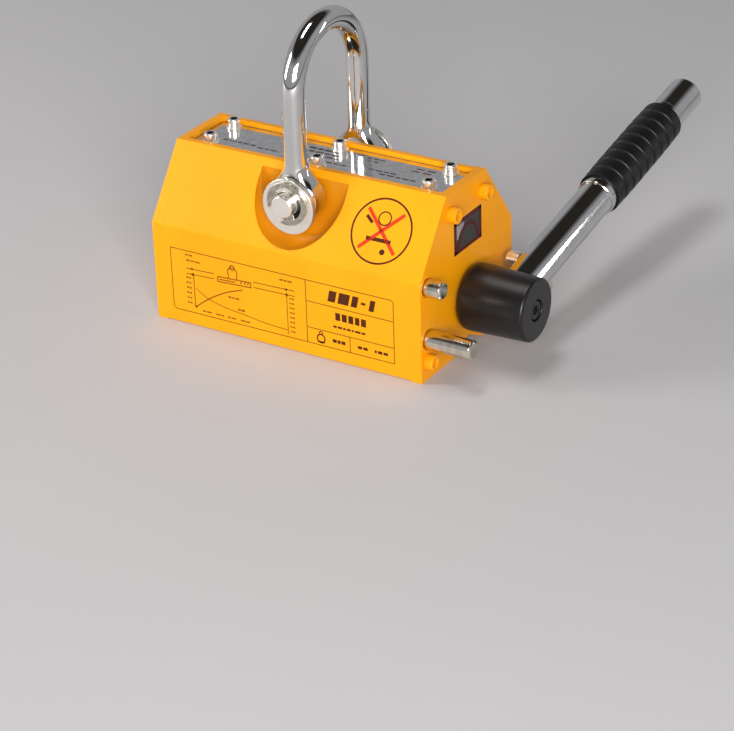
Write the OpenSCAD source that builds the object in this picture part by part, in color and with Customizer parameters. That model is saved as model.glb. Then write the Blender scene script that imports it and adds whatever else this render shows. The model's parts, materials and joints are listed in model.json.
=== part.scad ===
// Permanent lifting magnet: two steel poles, a magnet rotor turned by a swing-over lever,
// and a hook shackle on top.
// Millimetres. The origin is the middle of the working face. +X points to the lever hub,
// +Y to the rear, where the lever lies when the magnet is off, and +Z up.

/* [Body] */
// Length over both end covers
body_len = 162; // [158:1:180]
// Width at the working face
body_width = 94; // [92:1:100]
// Height from the working face to the top rim
body_height = 92; // [92:0.5:94]
// Height of the upright sides, below the slopes
side_height = 55; // [52:1:58]
// Width of the flat top
top_width = 40; // [38:1:44]
// Thickness of each end cover
cover_t = 6; // [5:0.5:7]
// Half width of the bottom groove that holds round bar
groove_half = 14; // [12:1:16]
// Depth of the bottom groove
groove_depth = 7; // [6:0.5:7.5]
// Gap between the two poles, filled by spacers and fixed magnets
pole_gap = 14; // [12:1:16]

/* [Top plate] */
// Length of the top plate
plate_len = 153; // [151:0.5:155]
// Thickness of the top plate
plate_t = 2; // [1.5:0.5:2.5]
// Width of the rim in front of and behind the top plate
plate_rim = 4; // [3:0.5:5]
// Depth of the plate's face below the rim
plate_sink = 2.4; // [2:0.1:3]

/* [Rotor] */
// Height of the rotor axis above the working face
axis_height = 30; // [30:0.5:31]
// Radius of the bore in the poles
bore_r = 20.5; // [20:0.1:20.6]
// Air gap between rotor and bore
air_gap = 0.3; // [0.2:0.05:0.5]
// Diameter of the lever shaft
shaft_d = 16; // [14:1:17]
// Thickness of the magnet slab in the rotor
slab_t = 12; // [10:1:14]
// Width of the magnet slab in the rotor
slab_w = 28; // [24:1:30]

/* [Shackle] */
// Height of the shackle pin
pin_height = 79.5; // [79:0.5:80]
// Diameter of the shackle pin
pin_d = 12; // [11:0.5:12]
// Diameter of the shackle's bar
shackle_d = 12; // [11:0.5:12]
// Half the distance between the middles of the shackle's legs
leg_half = 30.3; // [30:0.1:31]
// Height where the shackle's bow starts
bow_start = 133.7; // [130:0.5:140]
// Diameter of the shackle's eyes
eye_d = 28; // [26:1:29]
// Thickness of the shackle's eyes
eye_t = 11; // [10:0.5:11]
// Radius of the milled recess round each eye
recess_r = 26.2; // [25:0.1:27]
// Height of the middle of the recess's round bottom
recess_height = 82.6; // [82.4:0.1:83]
// Half the thickness of the body left between the two recesses
recess_floor = 22.5; // [22:0.25:22.5]

/* [Lever] */
// Distance of the bar's axis from the body's middle
bar_x = 103; // [103:0.5:105]
// Diameter of the bar
bar_d = 20; // [19:0.5:20]
// Distance of the bar's end from the rotor axis
bar_reach = 214; // [205:1:230]
// Where the chrome grip sleeve starts and ends along the bar
sleeve_span = [101, 187]; // [95:1:190]
// Outer diameter of the grip sleeve
sleeve_d = 21.5; // [21.2:0.1:22]
// Where the rubber grip starts and ends along the bar
grip_span = [106, 183]; // [100:1:186]
// Outer diameter of the rubber grip
grip_d = 24.5; // [23.5:0.5:27]
// Number of grooves round the rubber grip
grip_grooves = 8; // [4:1:9]
// Hub diameter next to the body
hub_d1 = 35.8; // [34:0.2:37]
// Hub diameter at its outer face
hub_d2 = 33.5; // [32:0.5:35]
// Hub's inner and outer faces along X
hub_span = [82.3, 121]; // [82.3:0.1:122]

/* [Stops and lock] */
// Distance of the two long stop pins from the middle plane
stop_y = 39.5; // [39:0.5:40]
// Height of the two long stop pins
stop_z = 22; // [21.8:0.1:22.5]
// Diameter of the long stop pins
stop_d = 10; // [9.5:0.5:10]
// How far the long stop pins stand out of the end cover
stop_out = 26; // [25:0.5:27]
// Position of the short safety pin in Y and Z
safety_at = [-39.9, 50.9]; // [-40:0.1:52]
// Diameter of the safety pin
safety_d = 9.2; // [8:0.2:9.4]
// How far the safety pin stands out of the end cover
safety_out = 9.5; // [8:0.5:10]
// Diameter of the slide key's thumb stud
key_d = 8.8; // [8:0.2:8.8]
// Distance of the released slide key from the rotor axis
key_at = 35.8; // [34:0.1:35.8]
// Travel of the slide key, outwards to lock
key_travel = 4; // [3:0.5:5]

/* [Hidden] */
$fn = 72;
eps = 0.01;
through = 40;        // overshoot of the shapes that cut holes
touch = 0.05;        // gap left between faces that rub
body_end = body_len / 2;
core_end = body_end - cover_t;
half_width = body_width / 2;
half_top = top_width / 2;
half_gap = pole_gap / 2;
bar_r = bar_d / 2;
pocket_half = half_top - plate_rim + touch;
plate_top = body_height - plate_sink;
pocket_floor = plate_top - plate_t;
recess_side = recess_r - 0.05;   // the recess's straight sides cross its round bottom

// Fixed magnets between the poles
stator_low = 54;
stator_high = 70;
stator_blocks = 4;
magnet_gap = 0.4;    // between neighbouring magnet blocks
spacer_reach = 10;   // height of the spacers' edges below and above the rotor axis

// Rotor along X: core, two flanges, two thrust washers, two cover spigots
rotor_r = bore_r - air_gap;
shaft_r = shaft_d / 2;
core_half = core_end - 14;
flange_t = 5;
flange_r = rotor_r - 0.3;
flange_end = core_half + flange_t;
spigot_face = flange_end + 1;
spigot_r = bore_r - 0.1;
bush_r = 11;
blind_depth = 11.5;
thrust_r = 17;
loose_r = shaft_r + 0.3;         // bore of the thrust washers
rotor_blocks = 4;
rotor_screw_at = [13, 7];
rotor_tap_depth = 10;
rotor_screw_len = 11;
head_sink = 3;                   // depth of the rotor screws' counterbores

// Socket screws: shank diameter, head diameter, head height and hexagon
m6 = [6, 10, 6, 5];
m5 = [5, 8.5, 5, 4];
m5_flat = [5, 10, 2.5, 3];
m4 = [4, 7, 4.2, 3];
m4_low = [4, 7, 2.6, 2.5];
m6_hole = 3.2;
m5_hole = 2.7;
m4_hole = 2.2;
m4_seat = 3.6;
cover_screw_at = [[16.2, 81], [41.3, 10.4]];
cover_screw_len = 19;
cover_tap_depth = 14;
top_screw_x = [-66, 0, 66];
top_screw_y = 11;
top_washer_t = 1;
top_washer_r = 4.4;
top_screw_len = 5;               // short, to end above the shackle pin
top_tap_depth = 4;

// Shackle stack along Y, from the recess floor outwards
eye_in = recess_floor + 2.3;
eye_out = eye_in + eye_t;
outer_washer = [eye_out + 1.2, eye_out + 4.2];
inner_washer_r = 11;
friction_washer_r = 11;
outer_washer_r = 15;
outer_washer_bore = 8;           // the wide bore lets the outer washers hang on the pin
clip_t = 1.3;
clip_groove_r = 5.2;
clip_r = 11.6;
clip_band = 2.9;
clip_mouth = 9.6;
pin_end = outer_washer[1] + 6;
flare_r = 16;

// Pins on the drive cover
pin_seat = 60;                   // where the pins end inside the pole
stop_ring = [0.8, 1];            // ring recess round a stop pin: width and depth
safety_ring = [1.2, 1.5];        // ring recess round the safety pin

// End label
label_corner = [-12.8, 56.4];
label_size = [0.25, 27.6, 18];

// Lever: the bar lies on the rear stop pin at rest
stop_drop = axis_height - stop_z;
rest_tilt = asin((bar_r + stop_d / 2 + touch) / norm([stop_y, stop_drop]))
            - atan2(stop_drop, stop_y);
bar_start = 6.6;
bar_bore_r = 6;
bar_bore_end = 46.5;
plug_t = 5.4;
shoe_half = 6;
shoe_r = bar_bore_r - 0.06;
neck_r = 2.3;
slot_gap = 0.3;
key_face = bar_x - bar_r - 0.4;
key_out = 7.2;
spring_wire_r = 0.6;
spring_mean_r = 4.7;
spring_turns = 7;
hub_washer_t = 1.2;
hub_washer_r = 12;
hub_inside = hub_span[0] - 2.3;  // start of the shapes that cut the hub
shaft_end = 92.5;
fit = 0.02;                      // clearance of the shaft and the bar in the hub
key_w = 5;
key_start = hub_span[0] + 0.6;
key_depth = 3;                   // how deep the key's groove goes into the shaft
key_rise = 2.2;                  // how far the key stands out of the shaft
hub_screw_len = 30;
hub_screw_washer_r = 5.5;
hub_screw_washer_t = 1;
counterbore_r = 5.75;
counterbore_floor = 113.5;
grub_y = 12;
grub_r = 3;
grub_start = 84.5;
grub_hex = 3;

// ---------- Helpers ----------

// Extrudes a Y-Z outline along X.
module along_x(x0, len) translate([x0, 0, 0]) rotate([90, 0, 90]) linear_extrude(len) children();

// Extrudes an X-Z outline from y0 towards +Y.
module along_y(y0, len) translate([0, y0 + len, 0]) rotate([90, 0, 0]) linear_extrude(len) children();

// Revolves a (radius, distance) profile about X, with the distance counted from x0.
module revolve_x(x0) translate([x0, 0, 0]) rotate([0, 90, 0]) rotate_extrude() children();

// Revolves a (radius, distance) profile about Y.
module revolve_y(y0 = 0) translate([0, y0, 0]) rotate([-90, 0, 0]) rotate_extrude() children();

module rod_x(x0, len, r) translate([x0, 0, 0]) rotate([0, 90, 0]) cylinder(r = r, h = len);
module rod_y(y0, len, r) translate([0, y0, 0]) rotate([-90, 0, 0]) cylinder(r = r, h = len);

// Profile of a round bar from 0 to len with a chamfer at the far end.
module bar_profile(r, len, chamfer)
    polygon([[0, 0], [r, 0], [r, len - chamfer], [r - chamfer, len], [0, len]]);

// Flat ring from z = 0 to t.
module ring(r_in, r_out, t) difference() {
    cylinder(r = r_out, h = t);
    translate([0, 0, -eps]) cylinder(r = r_in, h = t + 2 * eps);
}

// Socket screw with its bearing face at z = 0, head up and shank down.
module cap_screw(size, len) difference() {
    union() {
        rotate_extrude() bar_profile(size[1] / 2, size[2], 0.4);
        translate([0, 0, -len]) cylinder(d = size[0], h = len + eps);
    }
    translate([0, 0, size[2] * 0.45]) cylinder(d = size[3] / cos(30), h = size[2], $fn = 6);
}

// Profile of a countersunk screw with its flat top at 0 and its shank below.
module flat_profile(size, len)
    polygon([[0, 0], [size[1] / 2, 0], [size[0] / 2, -size[2]], [size[0] / 2, -len], [0, -len]]);

// Places children at each Y-Z point and at its mirror image in Y.
module each_corner(points) for (p = points, s = [-1, 1]) translate([0, s * p[0], p[1]]) children();

// The frame of the lever: local +Y runs along the bar and the origin is on the rotor axis.
module lever_frame() translate([0, 0, axis_height]) rotate([rest_tilt, 0, 0]) children();

// ---------- Body ----------

function groove_z(y) = groove_depth * (1 - y / groove_half);

module house_outline() polygon([
    [-half_width, 0], [-groove_half, 0], [0, groove_depth], [groove_half, 0], [half_width, 0],
    [half_width, side_height], [half_top, body_height], [-half_top, body_height],
    [-half_width, side_height]]);

// Pocket for the top plate, cut through poles and the inner part of the covers.
module plate_pocket() translate([-plate_len / 2 - touch, -pocket_half, pocket_floor])
    cube([plate_len + 2 * touch, 2 * pocket_half, body_height]);

// Round-bottomed recess in each slope, where the shackle's eye turns.
module eye_recess() along_y(recess_floor, half_width) {
    translate([0, recess_height]) circle(r = recess_r);
    translate([-recess_side, recess_height]) square([2 * recess_side, body_height]);
}

// Holes for the stop pin and, at the front, the safety pin.
module lever_pin_holes(side) {
    translate([0, side * stop_y, stop_z]) rod_x(pin_seat, through, stop_d / 2);
    if (side < 0) translate([0, safety_at[0], safety_at[1]])
        rod_x(pin_seat, through, safety_d / 2);
}

// One pole is drawn at the rear, and the front one is its mirror image.
module pole(side) difference() {
    mirror([0, side < 0 ? 1 : 0, 0]) difference() {
        along_x(-core_end, 2 * core_end) polygon([
            [half_gap, groove_z(half_gap)], [groove_half, 0], [half_width, 0],
            [half_width, side_height], [half_top, body_height], [pocket_half, body_height],
            [pocket_half, pocket_floor], [half_gap, pocket_floor]]);
        translate([0, 0, axis_height]) rod_x(-body_end, body_len, bore_r);
        eye_recess();
        translate([0, 0, pin_height]) rod_y(0, body_width, pin_d / 2);
        for (p = cover_screw_at, s = [0, 1]) mirror([s, 0, 0]) translate([0, p[0], p[1]])
            rod_x(core_end - cover_tap_depth, through, m5[0] / 2);
        for (x = top_screw_x) translate([x, top_screw_y, plate_top - top_tap_depth])
            cylinder(d = m4[0], h = through);
    }
    lever_pin_holes(side);
}

module front_pole() color("gold") pole(-1);
module rear_pole() color("gold") pole(1);

// Non-magnetic strip that closes the gap under the rotor.
module lower_spacer() color("darkgoldenrod") difference() {
    along_x(-core_end, 2 * core_end) polygon([
        [-half_gap, groove_z(half_gap)], [0, groove_depth], [half_gap, groove_z(half_gap)],
        [half_gap, axis_height - spacer_reach], [-half_gap, axis_height - spacer_reach]]);
    translate([0, 0, axis_height]) rod_x(-body_end, body_len, bore_r);
}

// Non-magnetic strip between the rotor bore and the fixed magnets.
module upper_spacer() color("darkgoldenrod") difference() {
    translate([-core_end, -half_gap, axis_height + spacer_reach])
        cube([2 * core_end, pole_gap, stator_low - axis_height - spacer_reach]);
    translate([0, 0, axis_height]) rod_x(-body_end, body_len, bore_r);
}

// Block that ties the poles under the top plate and carries the shackle pin.
module upper_block() color("silver") difference() {
    translate([-core_end, -half_gap, stator_high])
        cube([2 * core_end, pole_gap, pocket_floor - stator_high]);
    translate([0, 0, pin_height]) rod_y(-half_width, body_width, pin_d / 2);
}

// Row of fixed magnets between the poles.
module stator_magnets() color("dimgray") {
    step = 2 * core_end / stator_blocks;
    for (i = [0 : stator_blocks - 1])
        translate([-core_end + i * step + magnet_gap / 2, -half_gap, stator_low])
            cube([step - magnet_gap, pole_gap, stator_high - stator_low]);
}

// ---------- Top plate ----------

module top_plate() color("silver") difference() {
    translate([-plate_len / 2, -pocket_half + touch, pocket_floor])
        cube([plate_len, 2 * (pocket_half - touch), plate_t]);
    for (x = top_screw_x, s = [-1, 1]) translate([x, s * top_screw_y, pocket_floor - 1])
        cylinder(r = m4_hole, h = plate_t + 2);
}

module top_screw_washers() color("silver")
    for (x = top_screw_x, s = [-1, 1]) translate([x, s * top_screw_y, plate_top])
        ring(m4_hole, top_washer_r, top_washer_t);

module top_screws() color("gainsboro")
    for (x = top_screw_x, s = [-1, 1]) translate([x, s * top_screw_y, plate_top + top_washer_t])
        cap_screw(m4, top_screw_len);

// ---------- End covers ----------

// An end cover at +X, with a spigot that centres it in the rotor bore.
module cover() difference() {
    union() {
        along_x(core_end, cover_t) house_outline();
        translate([0, 0, axis_height]) rod_x(spigot_face, core_end - spigot_face + 1, spigot_r);
    }
    plate_pocket();
    each_corner(cover_screw_at) rod_x(core_end - 1, through, m5_hole);
}

module drive_cover() color("gold") difference() {
    cover();
    translate([0, 0, axis_height]) rod_x(spigot_face - 1, through, bush_r);
    for (side = [-1, 1]) {
        lever_pin_holes(side);
        translate([0, side * stop_y, stop_z])
            rod_x(body_end - stop_ring[1], through, stop_d / 2 + stop_ring[0]);
    }
    translate([0, safety_at[0], safety_at[1]])
        rod_x(body_end - safety_ring[1], through, safety_d / 2 + safety_ring[0]);
}

module blind_cover() color("gold") mirror([1, 0, 0]) difference() {
    cover();
    translate([0, 0, axis_height]) rod_x(spigot_face - 1, blind_depth + 1, bush_r);
    each_corner(cover_screw_at) {
        revolve_x(body_end) flat_profile(m5_flat, m5_flat[2]);
        rod_x(body_end - eps, 1, m5_flat[1] / 2);
    }
}

module drive_cover_screws() color("gold") each_corner(cover_screw_at)
    translate([body_end, 0, 0]) rotate([0, 90, 0]) cap_screw(m5, cover_screw_len);

// Countersunk screws that lie flush in the cover.
module blind_cover_screws() color("gold") mirror([1, 0, 0]) each_corner(cover_screw_at)
    difference() {
        revolve_x(body_end) flat_profile(m5_flat, cover_screw_len);
        translate([body_end - m5_flat[2] * 0.7, 0, 0]) rotate([0, 90, 0])
            cylinder(d = m5_flat[3] / cos(30), h = m5_flat[2], $fn = 6);
    }

module bush(len) translate([spigot_face, 0, axis_height]) rotate([0, 90, 0])
    ring(shaft_r + touch, bush_r, len);

module drive_bush() color("peru") bush(body_end - spigot_face);
module blind_bush() color("peru") mirror([1, 0, 0]) bush(blind_depth - 0.1);

// Bronze rings that keep the rotor's flanges off the cover spigots.
module thrust_washers() color("peru") for (s = [0, 1]) mirror([s, 0, 0])
    translate([flange_end + touch, 0, axis_height]) rotate([0, 90, 0])
        ring(loose_r, thrust_r, spigot_face - flange_end - 2 * touch);

module hub_thrust_washer() color("ivory") translate([body_end + touch, 0, axis_height])
    rotate([0, 90, 0]) ring(loose_r, hub_washer_r, hub_washer_t);

module end_label() color("dimgray")
    translate([body_end, label_corner[0], label_corner[1]]) cube(label_size);

// ---------- Pins on the drive cover ----------

module cover_pin(y, z, r, out) translate([0, y, z])
    revolve_x(pin_seat) bar_profile(r, body_end + out - pin_seat, 1);

module front_stop_pin() color("silver") cover_pin(-stop_y, stop_z, stop_d / 2, stop_out);
module rear_stop_pin() color("silver") cover_pin(stop_y, stop_z, stop_d / 2, stop_out);
module safety_pin() color("silver")
    cover_pin(safety_at[0], safety_at[1], safety_d / 2, safety_out);

// ---------- Shackle and its pin ----------

module shackle_pin() color("silver") translate([0, 0, pin_height]) difference() {
    for (s = [0, 1]) mirror([0, s, 0]) revolve_y() bar_profile(pin_d / 2, pin_end, 0.6);
    for (s = [0, 1]) mirror([0, s, 0]) translate([0, outer_washer[1], 0]) rotate([-90, 0, 0])
        ring(clip_groove_r, pin_d, clip_t + 2 * touch);
}

// A pair of equal rings on the shackle pin, front and rear.
module pin_rings(y0, y1, r) translate([0, 0, pin_height]) for (s = [0, 1]) mirror([0, s, 0])
    translate([0, y0, 0]) rotate([-90, 0, 0]) ring(pin_d / 2 + touch, r, y1 - y0);

module shackle_inner_washers() color("silver")
    pin_rings(recess_floor, eye_in - 2 * touch, inner_washer_r);
module shackle_friction_washers() color("dimgray")
    pin_rings(eye_out + touch, outer_washer[0] - touch, friction_washer_r);

// Thick washers that hang on the pin.
module shackle_outer_washers() color("gainsboro")
    translate([0, 0, pin_height + pin_d / 2 + touch - outer_washer_bore])
        for (s = [0, 1]) mirror([0, s, 0]) translate([0, outer_washer[0], 0]) rotate([-90, 0, 0])
            ring(outer_washer_bore, outer_washer_r, outer_washer[1] - outer_washer[0]);

// E-shaped spring clip: a ring with three inner teeth, open at the lower left.
module clip_outline() difference() {
    union() {
        difference() {
            circle(r = clip_r);
            circle(r = clip_r - clip_band);
        }
        for (a = [45, 165, 285]) rotate(a) translate([3, -2.5]) square([clip_r - 3.5, 5]);
    }
    circle(r = clip_groove_r + touch);
    rotate(225) translate([0, -clip_mouth / 2]) square([clip_r + 1, clip_mouth]);
}

module shackle_clips() color("silver") translate([0, 0, pin_height]) {
    along_y(-outer_washer[1] - touch - clip_t, clip_t) clip_outline();
    along_y(outer_washer[1] + touch, clip_t) clip_outline();
}

// Outline of one eye and the flare that leads up to the leg, about the pin.
module eye_outline() {
    reach = eye_d / 2 + flare_r;
    side = shackle_d / 2 + flare_r;
    rise = sqrt(reach * reach - side * side);
    foot = eye_d / 2 / reach;
    circle(r = eye_d / 2);
    difference() {
        translate([-side * foot, rise * foot]) square([2 * side * foot, rise * (1 - foot)]);
        for (s = [-1, 1]) translate([s * side, rise]) circle(r = flare_r);
    }
}

module shackle() color("gainsboro") difference() {
    union() {
        for (s = [-1, 1]) {
            translate([0, s * leg_half, pin_height + eye_d / 2 - 3])
                cylinder(d = shackle_d, h = bow_start - pin_height - eye_d / 2 + 3);
            translate([0, 0, pin_height]) along_y(s * leg_half - eye_t / 2, eye_t) eye_outline();
        }
        translate([0, 0, bow_start]) rotate([90, 0, 90]) rotate_extrude(angle = 180)
            translate([leg_half, 0]) circle(d = shackle_d);
    }
    translate([0, 0, pin_height]) rod_y(-body_width, 2 * body_width, pin_d / 2 + touch);
}

// ---------- Rotor ----------

// Half of the rotor's steel core, on the side of the slab that faces the bar (side 1) or not.
module rotor_pole(side) lever_frame() mirror([0, side < 0 ? 1 : 0, 0]) difference() {
    rod_x(-core_half, 2 * core_half, rotor_r);
    translate([-core_half - 1, -2 * rotor_r, -2 * rotor_r])
        cube([2 * core_half + 2, 2 * rotor_r + slab_t / 2, 4 * rotor_r]);
    for (e = [-1, 1], z = [-1, 1]) translate([0, rotor_screw_at[0], z * rotor_screw_at[1]])
        rod_x(e * core_half - rotor_tap_depth, 2 * rotor_tap_depth, m4_low[0] / 2);
}

module rotor_pole_a() color("slategray") rotor_pole(1);
module rotor_pole_b() color("slategray") rotor_pole(-1);

module rotor_magnets() color("dimgray") lever_frame() {
    step = 2 * core_half / rotor_blocks;
    for (i = [0 : rotor_blocks - 1])
        translate([-core_half + i * step + magnet_gap / 2, -slab_t / 2, -slab_w / 2])
            cube([step - magnet_gap, slab_t, slab_w]);
}

// Brass strips at both edges of the magnet slab.
module rotor_strips() color("darkgoldenrod") lever_frame() intersection() {
    rod_x(-core_half, 2 * core_half, rotor_r);
    for (s = [0, 1]) mirror([0, 0, s]) translate([-core_half, -slab_t / 2, slab_w / 2])
        cube([2 * core_half, slab_t, rotor_r]);
}

// A flange at +X that holds the rotor core together, with its shaft to x_end.
module flange_shaft(x_end) difference() {
    union() {
        rod_x(core_half, flange_t, flange_r);
        revolve_x(core_half) bar_profile(shaft_r, x_end - core_half, 0.5);
    }
    for (s = [-1, 1], z = [-1, 1])
        translate([0, s * rotor_screw_at[0], z * rotor_screw_at[1]]) {
            rod_x(core_half - 1, through, m4_hole);
            rod_x(flange_end - head_sink, through, m4_seat);
        }
}

module drive_flange_shaft() color("silver") lever_frame() difference() {
    flange_shaft(shaft_end);
    rod_x(body_end + 1, through, m6[0] / 2);
    translate([key_start - 0.1, -shaft_r - 1, -key_w / 2]) cube([through, 1 + key_depth, key_w]);
}

module blind_flange_shaft() color("silver") lever_frame() mirror([1, 0, 0])
    flange_shaft(spigot_face + blind_depth - 1);

module rotor_screws() color("dimgray") lever_frame() for (m = [0, 1]) mirror([m, 0, 0])
    for (s = [-1, 1], z = [-1, 1])
        translate([flange_end - head_sink, s * rotor_screw_at[0], z * rotor_screw_at[1]])
            rotate([0, 90, 0]) cap_screw(m4_low, rotor_screw_len);

// ---------- Lever ----------

// Tapered hub profile with a rounded inner edge and a chamfered outer edge.
module hub_profile() {
    len = hub_span[1] - hub_span[0];
    r1 = hub_d1 / 2;
    r2 = hub_d2 / 2;
    round_r = 4.5;
    polygon([[0, 0], [r1 - round_r, 0], [r1 - round_r, round_r], [r1, round_r],
             [r2, len - 1.5], [r2 - 1.5, len], [0, len]]);
    translate([r1 - round_r, round_r]) circle(r = round_r);
}

module hub() color("dimgray") lever_frame() difference() {
    revolve_x(hub_span[0]) hub_profile();
    rod_x(hub_inside, shaft_end + 0.2 - hub_inside, shaft_r + fit);
    rod_x(hub_inside, 2 * through, m6_hole);
    rod_x(counterbore_floor, through, counterbore_r);
    translate([hub_inside, -shaft_r - key_rise - 0.1, -key_w / 2])
        cube([shaft_end - hub_inside, shaft_r, key_w]);
    translate([bar_x, 0, 0]) rod_y(bar_start - 2 * touch, through, bar_r + fit);
    translate([0, grub_y, 0]) rod_x(hub_inside, bar_x - hub_inside, grub_r);
}

module hub_key() color("silver") lever_frame()
    translate([key_start, -shaft_r - key_rise, -key_w / 2])
        cube([shaft_end - key_start - 0.2, key_rise + key_depth - 0.2, key_w]);

module hub_screw_washer() color("silver") lever_frame()
    translate([counterbore_floor, 0, 0]) rotate([0, 90, 0])
        ring(m6_hole, hub_screw_washer_r, hub_screw_washer_t);

module hub_screw() color("dimgray") lever_frame()
    translate([counterbore_floor + hub_screw_washer_t, 0, 0]) rotate([0, 90, 0])
        cap_screw(m6, hub_screw_len);

module bar_grub_screw() color("dimgray") lever_frame() translate([0, grub_y, 0]) difference() {
    rod_x(grub_start, bar_x - bar_r - grub_start - 0.1, grub_r);
    translate([grub_start - 0.5, 0, 0]) rotate([0, 90, 0])
        cylinder(d = grub_hex / cos(30), h = 4, $fn = 6);
}

module handle_bar() color("gainsboro") lever_frame() translate([bar_x, 0, 0]) difference() {
    revolve_y(bar_start) bar_profile(bar_r, bar_reach - bar_start, 1);
    rod_y(bar_start - 1, bar_bore_end - bar_start + 1, bar_bore_r);
    translate([-bar_r - 1, key_at - neck_r - slot_gap, -neck_r - slot_gap])
        cube([bar_r, key_travel + 2 * (neck_r + slot_gap), 2 * (neck_r + slot_gap)]);
}

module bar_plug() color("silver") lever_frame() translate([bar_x, 0, 0])
    rod_y(bar_start, plug_t, bar_bore_r);

module grip_sleeve() color("gainsboro") lever_frame() translate([bar_x, 0, 0])
    revolve_y(sleeve_span[0]) {
        len = sleeve_span[1] - sleeve_span[0];
        r = sleeve_d / 2;
        polygon([[bar_r + fit, 0], [r - 0.5, 0], [r, 0.7],
                 [r, len - 0.7], [r - 0.5, len], [bar_r + fit, len]]);
    }

module grip() color("black") lever_frame() translate([bar_x, 0, 0]) revolve_y(grip_span[0]) {
    len = grip_span[1] - grip_span[0];
    step = len / (grip_grooves + 1);
    difference() {
        translate([sleeve_d / 2 + fit, 0]) square([(grip_d - sleeve_d) / 2 - fit, len]);
        for (i = [1 : grip_grooves]) translate([grip_d / 2 + 0.5, i * step]) circle(r = 1.1);
    }
}

// ---------- Slide key that locks the lever under the safety pin ----------

module slide_key() color("silver") lever_frame() translate([0, key_at, 0]) {
    translate([key_face, 0, 0]) mirror([1, 0, 0]) revolve_x(0)
        bar_profile(key_d / 2, key_out, 0.8);
    rod_x(key_face - eps, bar_x - key_face, neck_r);
}

module key_shoe() color("silver") lever_frame() difference() {
    translate([bar_x, key_at - shoe_half, 0]) rod_y(0, 2 * shoe_half, shoe_r);
    translate([0, key_at, 0]) rod_x(bar_x - bar_r, bar_r, neck_r);
}

// Point k of the coil's centre line, in the lever frame about the bar's axis.
function coil_point(a, y0, y1) =
    [spring_mean_r * cos(a), y0 + (y1 - y0) * a / (360 * spring_turns), spring_mean_r * sin(a)];

// Compression spring between the plug and the shoe, a round wire swept along a helix.
module lock_spring() color("silver") lever_frame() translate([bar_x, 0, 0]) {
    y0 = bar_start + plug_t + spring_wire_r + touch;
    y1 = key_at - shoe_half - spring_wire_r - touch;
    per_turn = 16;
    sides = 8;
    rings = per_turn * spring_turns;
    points = [for (i = [0 : rings]) let (a = 360 * i / per_turn, c = coil_point(a, y0, y1))
              for (j = [0 : sides - 1]) let (b = 360 * j / sides)
              c + spring_wire_r * [cos(a) * cos(b), sin(b), sin(a) * cos(b)]];
    walls = [for (i = [0 : rings - 1], j = [0 : sides - 1]) let (k = (j + 1) % sides)
             [i * sides + j, (i + 1) * sides + j, (i + 1) * sides + k, i * sides + k]];
    start_cap = [for (j = [0 : sides - 1]) j];
    end_cap = [for (j = [sides - 1 : -1 : 0]) rings * sides + j];
    polyhedron(points, concat(walls, [start_cap, end_cap]));
}

front_pole();
rear_pole();
lower_spacer();
upper_spacer();
upper_block();
stator_magnets();
top_plate();
top_screws();
top_screw_washers();
drive_cover();
blind_cover();
drive_cover_screws();
blind_cover_screws();
drive_bush();
blind_bush();
thrust_washers();
hub_thrust_washer();
end_label();
front_stop_pin();
rear_stop_pin();
safety_pin();
shackle_pin();
shackle_inner_washers();
shackle_friction_washers();
shackle_outer_washers();
shackle_clips();
shackle();
rotor_pole_a();
rotor_pole_b();
rotor_magnets();
rotor_strips();
drive_flange_shaft();
blind_flange_shaft();
rotor_screws();
hub();
hub_key();
hub_screw();
hub_screw_washer();
bar_grub_screw();
handle_bar();
bar_plug();
grip_sleeve();
grip();
lock_spring();
slide_key();
key_shoe();
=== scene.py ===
"""Looks of a permanent lifting magnet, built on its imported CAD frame.

Lengths are in metres, in the row frame: +X points to the lever hub, +Y to the rear and +Z up.
"""

import json
import math

import bmesh
import bpy
from mathutils import Matrix, Vector


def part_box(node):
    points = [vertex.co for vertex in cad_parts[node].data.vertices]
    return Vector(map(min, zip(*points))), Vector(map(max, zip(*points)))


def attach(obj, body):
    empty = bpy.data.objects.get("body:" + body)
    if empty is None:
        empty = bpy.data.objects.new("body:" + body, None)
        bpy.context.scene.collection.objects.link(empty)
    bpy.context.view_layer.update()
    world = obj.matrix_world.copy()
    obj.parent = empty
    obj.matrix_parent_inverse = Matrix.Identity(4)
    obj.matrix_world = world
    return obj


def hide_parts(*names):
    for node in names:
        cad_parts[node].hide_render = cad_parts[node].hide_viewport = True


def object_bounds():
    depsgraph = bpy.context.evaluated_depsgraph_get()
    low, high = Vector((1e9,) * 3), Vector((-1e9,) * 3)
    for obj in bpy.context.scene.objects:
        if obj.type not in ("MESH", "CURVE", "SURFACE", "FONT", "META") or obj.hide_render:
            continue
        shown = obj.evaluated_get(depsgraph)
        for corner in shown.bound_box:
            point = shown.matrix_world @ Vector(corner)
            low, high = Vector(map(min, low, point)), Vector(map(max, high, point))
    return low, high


MM = 0.001
X = Vector((1, 0, 0))
Y = Vector((0, 1, 0))
Z = Vector((0, 0, 1))
ORIGIN = Vector((0, 0, 0))
SIDES = 96  # facets round a turned piece
BORE_SIDES = 64
SHARP = math.radians(35)  # edges that fold less are shaded smooth
FOLD = math.radians(20)  # edges that fold more can be rounded
FLAT = math.radians(0.4)  # facets that fold less are joined
WELD = 1e-6
TOUCH = 10 * WELD

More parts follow.
